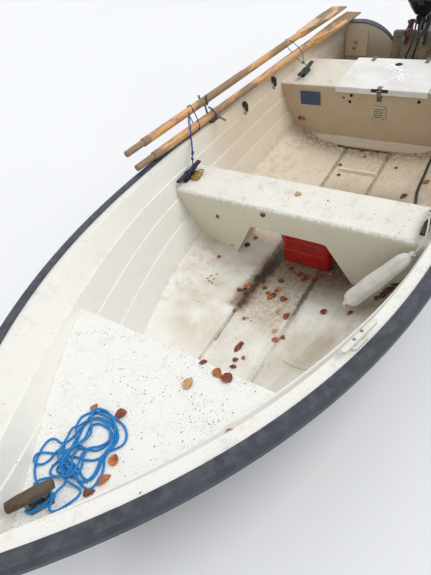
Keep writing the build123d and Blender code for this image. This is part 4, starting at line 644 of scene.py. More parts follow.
def settle(piece: Piece, name: str, finish: Finish, body: str | None, smooth: float = 40) -> Piece:
    """Finish a piece: apply its place, dress it, smooth it and let it ride.

    Args:
        piece: the new mesh object.
        name: its name.
        finish: its finish.
        body: the body that it moves with, or None when it is attached to no body.
        smooth: faces that meet under this angle in degrees are shaded smooth.

    Returns:
        The piece.
    """
    pick(piece)
    bpy.ops.object.transform_apply(location=True, rotation=True, scale=True)
    bpy.ops.object.shade_smooth_by_angle(angle=math.radians(smooth))
    piece.name = name
    piece.data.name = name
    piece.data.materials.clear()
    piece.data.materials.append(finish.material())
    deselect()
    if body:
        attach(piece, body)
    LOG.info("%s: %d faces", name, len(piece.data.polygons))
    return piece


def apply_modifier(piece: Piece, kind: str, **settings: object) -> None:
    """Add a modifier and apply it."""
    bpy.context.view_layer.objects.active = piece
    modifier = piece.modifiers.new(kind.lower(), kind)
    for key, value in settings.items():
        setattr(modifier, key, value)
    bpy.ops.object.modifier_apply(modifier=modifier.name)


def joined(pieces: Sequence[Piece]) -> Piece:
    """Join objects into the first one."""
    pick(*pieces)
    if len(pieces) > 1:
        bpy.ops.object.join()
    return pieces[0]


def copies(model: Piece, places: Iterable[Matrix]) -> Piece:
    """Copy a model to each place, every copy with its own mesh, and join them."""
    pieces = []
    for place in places:
        piece = bpy.data.objects.new(model.name, model.data.copy())
        bpy.context.scene.collection.objects.link(piece)
        piece.matrix_world = place
        pieces.append(piece)
    bpy.data.objects.remove(model)
    return joined(pieces)


def standing(place: Sequence[float], way: Sequence[float], turn: float = 0.0) -> Matrix:
    """Matrix that puts a model at a place with its Z along a way, turned round it by an angle in degrees."""
    aim = Vector(way).normalized().to_track_quat("Z", "Y").to_matrix().to_4x4()
    return Matrix.Translation(Vector(place)) @ aim @ Matrix.Rotation(math.radians(turn), 4, "Z")


def pick_faces(piece: Piece, choose: Callable[[bpy.types.MeshPolygon], bool]) -> None:
    """Select faces by a test and enter edit mode."""
    pick(piece)
    bpy.ops.object.mode_set(mode="EDIT")
    bpy.ops.mesh.select_mode(type="FACE")
    bpy.ops.mesh.select_all(action="DESELECT")
    bpy.ops.object.mode_set(mode="OBJECT")
    for face in piece.data.polygons:
        face.select = choose(face)
    bpy.ops.object.mode_set(mode="EDIT")


def block(size: Point, bevel: float, segments: int = 2) -> Piece:
    """A box on the origin with rounded edges."""
    deselect()
    bpy.ops.mesh.primitive_cube_add(size=1)
    piece = bpy.context.object
    piece.scale = size
    bpy.ops.object.transform_apply(location=False, rotation=False, scale=True)
    apply_modifier(piece, "BEVEL", width=bevel, segments=segments, limit_method="ANGLE")
    return piece


class Head(Enum):
    """Round heads with a sunk or raised middle.

    Each has its outer radius, height, width of the rim, depth of the middle (less than none where it is
    raised), sides of the round and width of the rounded edges.
    """

    HOOK_BUTTON = (0.019, 0.012, 0.004, -0.003, 20, 0.0006)
    TRANSOM_BOLT = (0.0115, 0.009, 0.0045, -0.003, 18, 0.0015)
    SMALL_SCREW = (0.0032, 0.0018, 0.0011, 0.0006, 12, 0.0003)
    SOCKET_SCREW = (0.0048, 0.0026, 0.0018, 0.0009, 14, 0.0004)
    HINGE_SCREW = (0.004, 0.0022, 0.0014, 0.0008, 14, 0.0004)
    PAD_BOLT = (0.010, 0.007, 0.004, -0.002, 6, 0.0008)
    TILT_NUT = (0.013, 0.008, 0.004, -0.003, 6, 0.0008)
    RIVET = (0.003, 0.0014, 0.001, -0.0003, 12, 0.0003)
    TANK_CAP = (0.026, 0.010, 0.007, 0.003, 28, 0.001)
    STARTER_BOSS = (0.022, 0.008, 0.006, 0.002, 24, 0.0015)
    # thin black discs of painted shade in holes
    FRONT_HOLE = (0.0098, 0.0016, 0.0012, -0.0006, 24, 0.0004)
    LID_HOLE = (0.0234, 0.0014, 0.001, 0.0, 32, 0.0003)
    CLEAT_BOLT = (0.0052, 0.0022, 0.0018, 0.001, 16, 0.0005)

    def model(self) -> Piece:
        """One head that stands on the origin."""
        radius, high, inset, sink, sides, bevel = self.value
        deselect()
        bpy.ops.mesh.primitive_cylinder_add(vertices=sides, radius=radius, depth=high,
                                            location=(0, 0, high / 2))
        piece = bpy.context.object
        bpy.ops.object.transform_apply(location=True, rotation=False, scale=False)
        pick_faces(piece, lambda face: face.normal.z > 0.9)
        bpy.ops.mesh.inset(thickness=inset)
        bpy.ops.mesh.extrude_region_move(TRANSFORM_OT_translate={"value": (0, 0, -sink)})
        bpy.ops.object.mode_set(mode="OBJECT")
        apply_modifier(piece, "BEVEL", width=bevel, segments=2, limit_method="ANGLE")
        return piece

    def set_on(self, name: str, spots: Sequence[Matrix], finish: Finish = Finish.STEEL,
               body: str = "boat") -> None:
        """Set copies of the head on some places, as one piece.

        Args:
            name: the piece's name.
            spots: the places.
            finish: its finish.
            body: the body that it moves with.
        """
        settle(copies(self.model(), spots), name, finish, body)


def even_points(points: Sequence[Vector], step: float) -> list[Vector]:
    """Points at an even spacing along a line of many points."""
    out = [points[0].copy()]
    need = step
    for a, b in zip(points, points[1:]):
        long = (b - a).length
        while long >= need > 0:
            out.append(a.lerp(b, need / long))
            need += step
        need -= long
    if (points[-1] - out[-1]).length > step * 0.4:
        out.append(points[-1].copy())
    return out


def smooth_line(route: Sequence[Sequence[float]], step: float) -> list[Vector]:
    """Points on the NURBS spline that a route's points steer.

    Args:
        route: control points in metres.
        step: spacing of the points that are returned.

    Returns:
        The points along the line.
    """
    curve = bpy.data.curves.new("route", "CURVE")
    curve.dimensions = "3D"
    curve.resolution_u = 16
    line = curve.splines.new("NURBS")
    line.points.add(len(route) - 1)
    for point, place in zip(line.points, route):
        point.co = (*place, 1)
    line.order_u = 3
    line.use_endpoint_u = True
    holder = bpy.data.objects.new("route", curve)
    bpy.context.scene.collection.objects.link(holder)
    bpy.context.view_layer.update()
    mesh = bpy.data.meshes.new_from_object(holder)
    points = [v.co.copy() for v in mesh.vertices]
    bpy.data.meshes.remove(mesh)
    bpy.data.objects.remove(holder)
    bpy.data.curves.remove(curve)
    return even_points(points, step)


def carried_frames(points: Sequence[Vector]) -> list[tuple[Vector, Vector]]:
    """Two directions square to a line at each of its points, without twist."""
    ways = [(b - a).normalized() for a, b in zip(points, points[1:])]
    ways.append(ways[-1])
    side = ways[0].orthogonal().normalized()
    frames = []
    for way in ways:
        side = (side - way * side.dot(way)).normalized()
        frames.append((side, way.cross(side)))
    return frames


def tube_into(mesh: bmesh.types.BMesh, points: Sequence[Vector], radius: Callable[[float, float], float],
              sides: int) -> None:
    """Add a closed tube along a line to a mesh, with a UV map that follows it.

    Args:
        mesh: mesh that takes the tube.
        points: the line.
        radius: radius from the share of the length and the angle.
        sides: sides of the round.
    """
    layer = mesh.loops.layers.uv.verify()
    frames = carried_frames(points)
    rings = []
    lengths = [0.0]
    for a, b in zip(points, points[1:]):
        lengths.append(lengths[-1] + (b - a).length)
    whole = lengths[-1]
    for point, (side, over), along in zip(points, frames, lengths):
        ring = []
        for n in range(sides):
            angle = 2 * math.pi * n / sides
            reach = radius(along / whole, angle)
            out = side * (reach * math.cos(angle)) + over * (reach * math.sin(angle))
            ring.append(mesh.verts.new(point + out))
        rings.append(ring)
    wide = 2 * math.pi * radius(0.5, 0.0)
    for k, (ring, after) in enumerate(zip(rings, rings[1:])):
        for n in range(sides):
            m = (n + 1) % sides
            face = mesh.faces.new((ring[n], ring[m], after[m], after[n]))
            face.smooth = True
            near, far = lengths[k], lengths[k + 1]
            for loop, (u, v) in zip(face.loops, ((near, n), (near, n + 1), (far, n + 1), (far, n))):
                loop[layer].uv = (u / wide, v / sides)
    mesh.faces.new(list(reversed(rings[0])))
    mesh.faces.new(rings[-1])


def tube(points: Sequence[Vector], radius: Radius, sides: int = 10) -> Piece:
    """A tube piece along a line."""
    return tubes([points], radius, sides)


def tubes(lines: Sequence[Sequence[Vector]], radius: Radius, sides: int = 10) -> Piece:
    """One piece of several tubes.

    Args:
        lines: the lines that they follow.
        radius: one radius, or a function of the share of the length and the angle.
        sides: sides of the round.

    Returns:
        The piece.
    """
    shape = radius if callable(radius) else (lambda share, angle: radius)
    mesh = bmesh.new()
    for line in lines:
        tube_into(mesh, line, shape, sides)
    bmesh.ops.recalc_face_normals(mesh, faces=mesh.faces)
    data = bpy.data.meshes.new("tube")
    mesh.to_mesh(data)
    mesh.free()
    piece = bpy.data.objects.new("tube", data)
    bpy.context.scene.collection.objects.link(piece)
    return piece


def strands(points: Sequence[Vector], diameter: float, pitch: float) -> list[list[Vector]]:
    """The three laid strands of a rope along a line."""
    frames = carried_frames(points)
    offset = diameter * STRAND_OFFSET
    lines: list[list[Vector]] = [[], [], []]
    along = 0.0
    before = points[0]
    for point, (side, over) in zip(points, frames):
        along += (point - before).length
        before = point
        for k, line in enumerate(lines):
            angle = 2 * math.pi * (along / pitch + k / 3)
            line.append(point + side * (offset * math.cos(angle)) + over * (offset * math.sin(angle)))
    return lines


def line_length(points: Sequence[Vector]) -> float:
    """Length of a line of points."""
    return sum((b - a).length for a, b in zip(points, points[1:]))


def met(nodes: Sequence[str], start: Sequence[float], way: Sequence[float]) -> tuple[Vector, Vector]:
    """Nearest place and its normal where a ray meets some CAD nodes.

    Args:
        nodes: the nodes.
        start: where the ray starts.
        way: its direction.

    Returns:
        The place and the normal.

    Raises:
        ValueError: if the ray meets none of them.
    """
    rays = [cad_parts[node].ray_cast(Vector(start), Vector(way).normalized()) for node in nodes]
    found = [(place, normal) for hit, place, normal, _ in rays if hit]
    if not found:
        raise ValueError(f"nothing of {nodes} from {tuple(start)} along {tuple(way)}")
    return min(found, key=lambda ray: (ray[0] - Vector(start)).length)


LINER_NODES = ("liner_floor", "liner_sides", "liner_sides_mid")
# CAD faces that meet under this angle in degrees are shaded smooth
SMOOTH_CAD = 32
DOWN = (0, 0, -1)
AFT = (-1, 0, 0)


def on_node(nodes: Sequence[str], x: float, y: float, start: float = 0.32) -> Vector:
    """The place where a plumb line at x, y first meets one of some CAD nodes."""
    return met(nodes, (x, y, start), DOWN)[0]


# Camera and stage


@dataclass
class Camera:
    """The viewpoint above the bow, looking down along the boat."""

    place: Point = (1.5393, 0.8647, 1.6986)
    right: Point = (-0.52279, 0.83078, -0.19103)
    down: Point = (0.69037, 0.28115, -0.66659)
    forward: Point = (-0.50008, -0.48037, -0.72053)
    focal_px: float = 452.105
    sensor: float = 36.0

    def build(self) -> None:
        """Create the camera and make it the scene's own."""
        data = bpy.data.cameras.new("view")
        data.sensor_width = self.sensor
        data.lens = self.sensor * self.focal_px / IMAGE_HEIGHT
        data.clip_start = 0.02
        camera = bpy.data.objects.new("view", data)
        bpy.context.scene.collection.objects.link(camera)
        turn = Matrix((self.right, [-v for v in self.down], [-v for v in self.forward])).transposed()
        camera.matrix_world = Matrix.Translation(Vector(self.place)) @ turn.to_4x4()
        bpy.context.scene.camera = camera

    def ray(self, px: float, py: float) -> Vector:
        """Way from the viewpoint through a pixel of the image."""
        return (Vector(self.forward) * self.focal_px + Vector(self.right) * (px - IMAGE_WIDTH / 2)
                + Vector(self.down) * (py - IMAGE_HEIGHT / 2))

    def seen(self, px: float, py: float, nodes: Sequence[str] = ()) -> tuple[Vector, Vector]:
        """Surface place and its normal behind a pixel of the image, on anything or on some CAD nodes."""
        way, eye = self.ray(px, py).normalized(), Vector(self.place)
        if nodes:
            place, normal = met(nodes, eye, way)
        else:
            graph = bpy.context.evaluated_depsgraph_get()
            hit, place, normal, *_ = bpy.context.scene.ray_cast(graph, eye, way)
            if not hit:
                raise ValueError(f"nothing at pixel {px}, {py}")
        return place, -normal if normal.dot(way) > 0 else normal


@dataclass
class Stage:
    """Pale floor at the waterline with the boat's own opening in it, and soft light."""

    # half widths of the opening, inside the hull's wall, from stem to stern
    opening: Pairs = (
        (1.385, 0.0), (1.3, 0.07), (1.2, 0.142), (1.0, 0.238), (0.8, 0.327), (0.5, 0.43), (0.2, 0.51),
        (-0.2, 0.548), (-0.6, 0.552), (-1.0, 0.545), (-1.3, 0.535), (-1.6, 0.515), (-1.9, 0.475),
        (-2.02, 0.455))
    reach: float = 20.0
    sky: float = 0.76
    sun: float = 1.45

    def build(self) -> None:
        """Make the floor, the world and the lamp."""
        curve = bpy.data.curves.new("floor", "CURVE")
        curve.dimensions = "2D"
        curve.fill_mode = "BOTH"
        edge = [(self.reach * a, self.reach * b) for a, b in ((1, 1), (-1, 1), (-1, -1), (1, -1))]
        hole = list(self.opening) + [(x, -y) for x, y in reversed(self.opening) if y]
        for outline in (edge, hole):
            line = curve.splines.new("POLY")
            line.points.add(len(outline) - 1)
            for point, (x, y) in zip(line.points, outline):
                point.co = (x, y, 0, 1)
            line.use_cyclic_u = True
        floor = bpy.data.objects.new("floor", curve)
        bpy.context.scene.collection.objects.link(floor)
        pick(floor)
        bpy.ops.object.convert(target="MESH")
        floor = bpy.context.object
        paint = Paint("pale_floor")
        clouds = paint.mix(paint.noise(0.7, 2), srgb(238, 239, 240), srgb(232, 233, 235))
        paint.shader_set({"Base Color": clouds, "Roughness": 0.85})
        floor.data.materials.append(paint.material)
        self._light()

    def _light(self) -> None:
        """Even sky with a soft high sun; rays that meet the camera or a gloss see white."""
        world = bpy.data.worlds.new("sky")
        world.use_nodes = True
        tree = world.node_tree
        sky = tree.nodes["Background"]
        sky.inputs["Color"].default_value = (0.97, 0.985, 1.0, 1)
        sky.inputs["Strength"].default_value = self.sky
        white = tree.nodes.new("ShaderNodeBackground")
        white.inputs["Color"].default_value = (0.93, 0.945, 0.965, 1)
        path = tree.nodes.new("ShaderNodeLightPath")
        blend = tree.nodes.new("ShaderNodeMixShader")
        direct = path.outputs["Is Camera Ray"]
        for kind in ("Is Glossy Ray", "Is Transmission Ray"):
            either = tree.nodes.new("ShaderNodeMath")
            either.operation = "MAXIMUM"
            tree.links.new(direct, either.inputs[0])
            tree.links.new(path.outputs[kind], either.inputs[1])
            direct = either.outputs[0]
        tree.links.new(direct, blend.inputs[0])
        tree.links.new(sky.outputs[0], blend.inputs[1])
        tree.links.new(white.outputs[0], blend.inputs[2])
        tree.links.new(blend.outputs[0], tree.nodes["World Output"].inputs[0])
        bpy.context.scene.world = world
        lamp = bpy.data.lights.new("sun", "SUN")
        lamp.energy = self.sun
        lamp.angle = 0.6
        sun = bpy.data.objects.new("sun", lamp)
        sun.rotation_euler = (math.radians(-28), math.radians(-22), 0)
        bpy.context.scene.collection.objects.link(sun)


# Cords

# length of a strand's turn, radius of a strand and its distance from the middle, in rope diameters
STRAND_TURN = 3.4
STRAND_RADIUS = 0.245
STRAND_OFFSET = 0.27


@dataclass
class Cord:
    """A rope, line or hose along a route."""

    name: str
    route: Sequence[Sequence[float]]
    diameter: float
    finish: Finish
    nodes: tuple[str, ...]
    far_end: str
    stiffness: str = "limp"
    lay: str = "loose"
    laid: bool = False
    sides: int = 10
    step: float = 0.004
    body: str | None = "boat"
    points: list[Vector] = field(default_factory=list)
    piece: Piece | None = None

    def line(self) -> list[Vector]:
        """The points that the cord follows."""
        return smooth_line(self.route, self.step)

    def build(self) -> "Cord":
        """Make the tube or the laid strands, and dress them."""
        self.points = self.line()
        if self.laid:
            turn = self.diameter * STRAND_TURN
            piece = tubes(strands(self.points, self.diameter, turn), self.diameter * STRAND_RADIUS, 7)
        else:
            piece = tube(self.points, self.diameter / 2, self.sides)
        self.piece = settle(piece, self.name, self.finish, self.body, 60)
        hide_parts(*self.nodes)
        return self

    def declare(self, with_pieces: Sequence[object] = ()) -> None:
        """Log the cord's name and length."""
        LOG.info("%s: %.3f m", self.name, line_length(self.points))


BOW_SEAT_Z = 0.430
FENDER_LOW = (0.215, 0.384, 0.026)
FENDER_HIGH = (0.112, 0.600, 0.300)
ROPE = 0.008
# distance of two turns that cross, and the steepest rise of the rope from point to point
STACKED = ROPE * 1.02
STEEPEST = 0.0011
# the post: its plate's height, half the gap of its bolts, the rope's reach round one, points of a turn
POST_PLATE = 0.006
BOLT_GAP = 0.028
BOLT_REACH = 0.0145
RING_POINTS = 14


@dataclass
class Painter(Cord):
    """The blue rope: round the cleat's post, a loose heap on the bow seat and back to the post."""

    name: str = "painter"
    route: Sequence[Sequence[float]] = ()
    diameter: float = ROPE
    finish: Finish = Finish.ROPE_BLUE
    nodes: tuple[str, ...] = ("painter_turns", "painter_heap", "painter_lead", "painter_tail", "painter_loop")
    far_end: str = "object"
    laid: bool = True
    step: float = 0.003
    # middle of the post and the turn of its bolts in degrees
    post: Point = (1.580, -0.0035, -31.7)
    # places in millimetres from the post to the heap, of the fold, and from the heap back to the post
    lead: Pairs = (
        (1552, -52), (1543, -72), (1532, -93), (1510, -115), (1482, -129), (1452, -137), (1430, -135),
        (1417, -119), (1419.5, -96), (1416.8, -72))
    fold: Pairs = (
        (1507, 22), (1527, 21), (1549, 25), (1570, 28), (1583.5, 37), (1573, 51), (1553, 61), (1532, 72),
        (1511, 80), (1490, 77))
    tail: Pairs = ((1517, -45), (1532, -61), (1552, -67), (1570, -58))
    # pixels of the photo that the heap was followed through
    heap: Pairs = (
        (63, 455), (68, 461), (73, 467), (76, 474), (78, 481), (83, 487), (89, 490), (94.5, 486), (99, 480),
        (102.5, 473), (104.2, 466), (103.8, 459), (107, 452), (112, 446.5), (115.3, 440), (116, 432.5),
        (113, 425.5), (107, 420.5), (100, 417.5), (93, 418), (87, 421.5), (83, 427.5), (80, 434.5),
        (77, 441.5), (71.5, 447.5), (65, 452.5), (58.5, 453.5), (52, 453.3), (46, 452.4), (40, 453.6),
        (35.5, 456.5), (34.2, 460.5), (36.2, 464.2), (40.5, 465), (45.5, 463), (51, 459), (56, 454.5),
        (61, 449.5), (66, 444), (71.5, 438.5), (77.5, 433.5), (83, 428.5), (87.5, 422.5), (91.5, 416.5),
        (97, 412.2), (103.5, 410.6), (109.5, 413.6), (114.5, 418), (120, 421.8), (125, 427), (127, 434),
        (126, 441), (122, 446), (116, 448.7), (110, 451.3), (105, 455.2), (100, 458.6), (93, 460.6),
        (86, 460.2), (80, 458.2), (74, 456.7), (68, 457), (62, 459), (57, 462), (53, 466), (50, 470.5),
        (50.6, 475), (55, 476.4), (61, 475.6), (65.8, 472), (66.3, 467), (62, 464.6), (57.6, 466.6),
        (56.6, 471), (60, 473.6), (64, 470.5), (67, 466), (71, 463), (76, 465.2), (79.4, 470.6),
        (82, 476.5), (86.5, 480.5), (92, 479.2), (96.4, 474), (99.2, 467.5), (103, 461.5), (107.5, 456.5),
        (111.5, 450.5), (115.8, 445), (118.4, 438), (118, 431), (115, 424), (109, 418), (102, 414),
        (95, 412), (88, 413.3), (82, 416.7), (78, 421.7), (76.8, 428.2), (78, 435), (76.5, 442), (72, 449),
        (66.5, 455), (62, 461), (61, 467.5), (64.5, 473), (70, 477), (76, 477.5), (80, 473), (82.5, 466.5),
        (84, 459.5), (85, 453), (83.5, 446.5), (78.5, 445.8), (73, 450), (68.5, 455.5), (66.5, 462),
        (69, 468.5), (73.5, 474), (78, 479.5), (82, 482.5), (88, 482), (93.5, 477.5), (97.5, 471),
        (100.5, 464.5), (105, 458), (110, 452.5), (113.5, 446), (114.3, 438.5), (111, 431), (105, 426),
        (98.5, 423.3), (92, 425), (88, 430.5), (86, 437), (81.5, 443), (76, 448.5), (71.5, 454), (70, 460),
        (66.5, 464), (62, 463.5), (60.3, 458.5), (62, 452), (65.5, 446), (68.3, 439), (70.5, 432.5),
        (75.5, 428.8), (81.5, 427.5), (87.5, 423.5), (93.5, 419.5), (100.5, 419.3), (107, 423), (111, 429),
        (111.5, 436.5), (108.5, 443.5), (102.5, 448.5), (95.5, 451), (89.5, 450), (80, 447.5),
        (75.5, 452.5), (73.5, 459), (74, 466), (72.5, 472.5), (68, 480))
    heap_end: Pairs = (
        (68.5, 483), (65, 478), (64, 471), (66, 464), (70, 457), (75, 451.5), (80.5, 446), (86, 441),
        (90.5, 435), (93, 428), (93.2, 420), (94, 413), (98.5, 410), (105, 410.6), (110.5, 414.3),
        (114.5, 420), (116.8, 427), (116, 434.5), (112, 441), (106, 445), (100, 446.5), (94.5, 447.5),
        (89, 450), (84, 454), (81, 460), (79.5, 467), (77.5, 474), (72, 479.5))

    def flat(self, spots: Sequence[tuple[float, float]], high: float) -> list[Vector]:
        """Places at a height that lie behind pixels of the image."""
        camera = Camera()
        ways = [camera.ray(px, py) for px, py in spots]
        return [Vector(camera.place) + way * ((high - camera.place[2]) / way.z) for way in ways]

    def ring(self, turns: float, start: float, low: float, rise: float) -> list[Vector]:
        """Points round the post's two bolts, from a start angle in turns, backwards for less than none."""
        x, y, turn = self.post
        spin = Matrix.Rotation(math.radians(turn), 2)
        out = []
        count = int(RING_POINTS * abs(turns))
        for n in range(count + 1):
            angle = 2 * math.pi * (start + math.copysign(n / RING_POINTS, turns))
            bolt = BOLT_GAP * max(-1, min(1, 2.2 * math.cos(angle)))
            spot = spin @ Vector((bolt + BOLT_REACH * math.cos(angle), BOLT_REACH * math.sin(angle)))
            out.append(Vector((x + spot.x, y + spot.y, low + rise * n / count)))
        return out

    def line(self) -> list[Vector]:
        """Post, heap and post again, with the heap's crossings stacked."""
        low = BOW_SEAT_Z + POST_PLATE + 0.0008 + ROPE / 2
        rest = BOW_SEAT_Z + ROPE / 2 + 0.0006
        begin = self.ring(1.3, 0.48, low, 0.004)
        lead, fold, tail = ([Vector((x / 1000, y / 1000, rest)) for x, y in part]
                            for part in (self.lead, self.fold, self.tail))
        route = begin + lead + self.flat(self.heap, rest) + fold + self.flat(self.heap_end, rest) + tail
        end = self.ring(-0.8, 0.78, low + ROPE, 0.002)
        route += [Vector((1.581, -0.050, rest + 0.004)), Vector((1.5885, -0.0385, low + ROPE * 0.7)),
                  Vector((1.5885, -0.0285, low + ROPE * 0.9))] + end
        points = smooth_line(route, self.step)
        return self.stacked(points, rest)

    def stacked(self, points: list[Vector], rest: float) -> list[Vector]:
        """Lift later turns of the rope over the earlier ones that they cross.

        Args:
            points: the line as it lies flat.
            rest: height of its middle on the seat.

        Returns:
            The line with long low humps at its crossings.
        """
        flat = np.array([(p.x, p.y) for p in points])
        high = np.array([max(p.z, rest) for p in points])
        given = high.copy()
        apart = np.sqrt(((flat[:, None] - flat[None]) ** 2).sum(2))
        count = len(points)
        order = np.arange(count)
        earlier = (order[:, None] - order[None]) > 8
        near = (apart < STACKED) & earlier
        lift = np.where(near, np.sqrt(np.maximum(STACKED ** 2 - apart ** 2, 0)), 0)
        for _ in range(7):
            need = np.where(near, high[None] + lift, 0).max(1)
            high = np.maximum(high, need)
            for n in range(1, count):
                high[n] = max(high[n], high[n - 1] - STEEPEST)
            for n in range(count - 2, -1, -1):
                high[n] = max(high[n], high[n + 1] - STEEPEST)
        soft = np.convolve(np.pad(high, 2, mode="edge"), np.ones(5) / 5, mode="valid")
        high = np.maximum(soft, given)
        return [Vector((p.x, p.y, h)) for p, h in zip(points, high)]


@dataclass
class LashedOars:
    """The two stowed oars, and the corners of a lashing round them."""

    inner: tuple[Point, Point] = ((0.153, -0.774, 0.4995), (-2.252, -0.5284, 0.3888))
    outer: tuple[Point, Point] = ((0.150, -0.818, 0.572), (-2.210, -0.650, 0.430))
    radius: float = 0.022

    def at(self, oar: tuple[Point, Point], x: float) -> Vector:
        """Middle of an oar at a station."""
        grip, tip = Vector(oar[0]), Vector(oar[1])
        return grip.lerp(tip, (x - grip.x) / (tip.x - grip.x))

    def corner(self, x: float, letter: str, cord: float) -> Vector:
        """Corner of a lashing.

        Args:
            x: station.
            letter: A inboard and B outboard of the outer oar, C below and D inboard of the inner one.
            cord: diameter of the cord.

        Returns:
            The corner.
        """
        reach = self.radius + cord / 2 + 0.0008
        outer, inner = self.at(self.outer, x), self.at(self.inner, x)
        up = (outer - inner).normalized()
        inboard = up.cross(Vector((1, 0, 0)))
        offsets = {"A": outer + (up + inboard) * reach, "B": outer + (up - inboard) * reach,
                   "C": inner - (up + inboard) * reach, "D": inner + (inboard - up) * reach}
        return offsets[letter]


@dataclass
class Ropework:
    """The painter, the lashings of the oars, the fender's line, and their knots and hitches."""

    seat: float = 0.320
    navy: float = 0.006
    green: float = 0.005
    white: float = 0.008
    white_turn: float = 0.0075
    navy_knot: Point = (-0.148, -0.642, 0.424)
    navy_second: Point = (-0.131, -0.639, 0.400)
    green_knot: Point = (-1.369, -0.550, 0.386)
    white_knot: Point = (-0.072, 0.620, 0.3724)

    def build(self) -> None:
        Painter().build().declare()
        oars = LashedOars()
        navy = Cord("navy_lashing_cord", self.navy_route(oars), self.navy, Finish.ROPE_NAVY,
                    ("navy_lashing",), "knot", lay="taut").build()
        green = Cord("green_lashing_cord", self.green_route(oars), self.green, Finish.ROPE_GREEN,
                     ("green_lashing",), "knot", lay="taut").build()
        white = Cord("fender_lanyard", self.white_route(), self.white, Finish.ROPE_WHITE, ("fender_line",),
                     "knot", lay="hanging", laid=True).build()
        knots = self.knot("navy_knots", (self.navy_knot, self.navy_second), self.navy, Finish.ROPE_NAVY)
        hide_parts("lashing_knots")
        green_knot = self.knot("green_knots", (self.green_knot,), self.green, Finish.ROPE_GREEN)
        white_knot = self.knot("white_knot", (self.white_knot,), self.white_turn, Finish.ROPE_WHITE)
        navy_hitch = self.hitch("navy_hitch", (-0.072, -0.634, self.seat), self.navy, Finish.ROPE_NAVY)
        green_hitch = self.hitch("green_hitch", (-1.353, -0.524, self.seat), self.green, Finish.ROPE_GREEN)
        white_hitch = self.hitch("white_hitch", (-0.072, 0.620, self.seat), self.white_turn,
                                 Finish.ROPE_WHITE)
        navy.declare([knots, navy_hitch])
        green.declare([green_knot, green_hitch])
        white.declare([white_knot, white_hitch])

    def navy_route(self, oars: LashedOars) -> list[Sequence[float]]:
        """From the starboard cleat up to the knot, twice round both oars and back to the knot."""
        knot = Vector(self.navy_knot)
        turns = [oars.corner(x, letter, self.navy) for x, letter in (
            (-0.372, "A"), (-0.384, "B"), (-0.330, "C"), (-0.325, "D"), (-0.388, "A"), (-0.398, "B"),
            (-0.262, "C"))]
        return [(-0.112, -0.634, self.seat + 0.042), knot, *turns, (-0.230, -0.693, 0.448),
                knot + Vector((-0.005, -0.003, 0.002))]

    def green_route(self, oars: LashedOars) -> list[Sequence[float]]:
        """From the stern seat's cleat to the knot, once round both oars and back."""
        knot = Vector(self.green_knot)
        turns = [oars.corner(x, letter, self.green) for x, letter in (
            (-1.436, "D"), (-1.470, "A"), (-1.480, "B"), (-1.398, "C"))]
        return [(-1.378, -0.524, self.seat + 0.042), knot, *turns, knot + Vector((-0.004, -0.004, -0.002))]

    def white_route(self) -> list[Sequence[float]]:
        """From the fender's neck over the thwart to its knot on the cleat."""
        top, low = Vector(FENDER_HIGH), Vector(FENDER_LOW)
        way = (top - low).normalized()
        start = top + way * 0.0222
        return [start, start + way * 0.017, (0.090, 0.632, 0.345), (0.062, 0.637, 0.361),
                (0.024, 0.635, 0.376), (-0.020, 0.628, 0.382), (-0.062, 0.620, 0.376)]

    def knot(self, name: str, places: Sequence[Point], cord: float, finish: Finish) -> Piece:
        """Tight overhand knots.

        Args:
            name: the piece's name.
            places: middles of the knots.
            cord: diameter of the cord.
            finish: its finish.

        Returns:
            The piece.
        """
        size = cord * 0.5
        lines = []
        for turn, place in enumerate(places):
            spin = Matrix.Rotation(0.6 + 1.3 * turn, 3, "X") @ Matrix.Rotation(0.9, 3, "Y")
            line = []
            for n in range(49):
                t = 2 * math.pi * n / 48
                shape = Vector((math.sin(t) + 2 * math.sin(2 * t), math.cos(t) - 2 * math.cos(2 * t),
                                -1.3 * math.sin(3 * t)))
                line.append(Vector(place) + spin @ (shape * size))
            lines.append(line)
        return settle(tubes(lines, cord / 2, 8), name, finish, "boat", 60)

    def hitch(self, name: str, place: Point, cord: float, finish: Finish) -> Piece:
        """Turns of a cord round a horn cleat: one round its neck and two crossing over its top.

        Args:
            name: the piece's name.
            place: middle of the cleat's foot.
            cord: diameter of the cord.
            finish: its finish.

        Returns:
            The piece.
        """
        out = 0.0115 + cord / 2
        low = 0.0125 + cord
        top = 0.0405 + cord / 2
        steps = ((-42, 0.0, top + 0.002), (-24, 0.25, top), (4, 0.75, top - 0.001), (20, 1.04, 0.032),
                 (34, 1.0, low + 0.004), (43, 0.35, low), (43, -0.35, low), (36, -1.0, low), (14, -1.04, low),
                 (-14, -1.04, low), (-36, -1.0, low), (-43, -0.35, low), (-43, 0.35, low), (-36, 1.0, low),
                 (-22, 1.04, 0.027), (-10, 1.02, 0.040), (2, 0.5, top + cord), (12, -0.2, top + cord * 0.9),
                 (20, -0.8, top), (28, -1.08, 0.034), (38, -1.3, low + 0.008), (52, -1.5, 0.010))
        route = [Vector(place) + Vector((x / 1000, y * out, z)) for x, y, z in steps]
        return settle(tube(smooth_line(route, 0.003), cord / 2, 9), name, finish, "boat", 60)


# front of the hose guide and height of its holes
GUIDE_X = -2.1381
GUIDE_Z = 0.3864


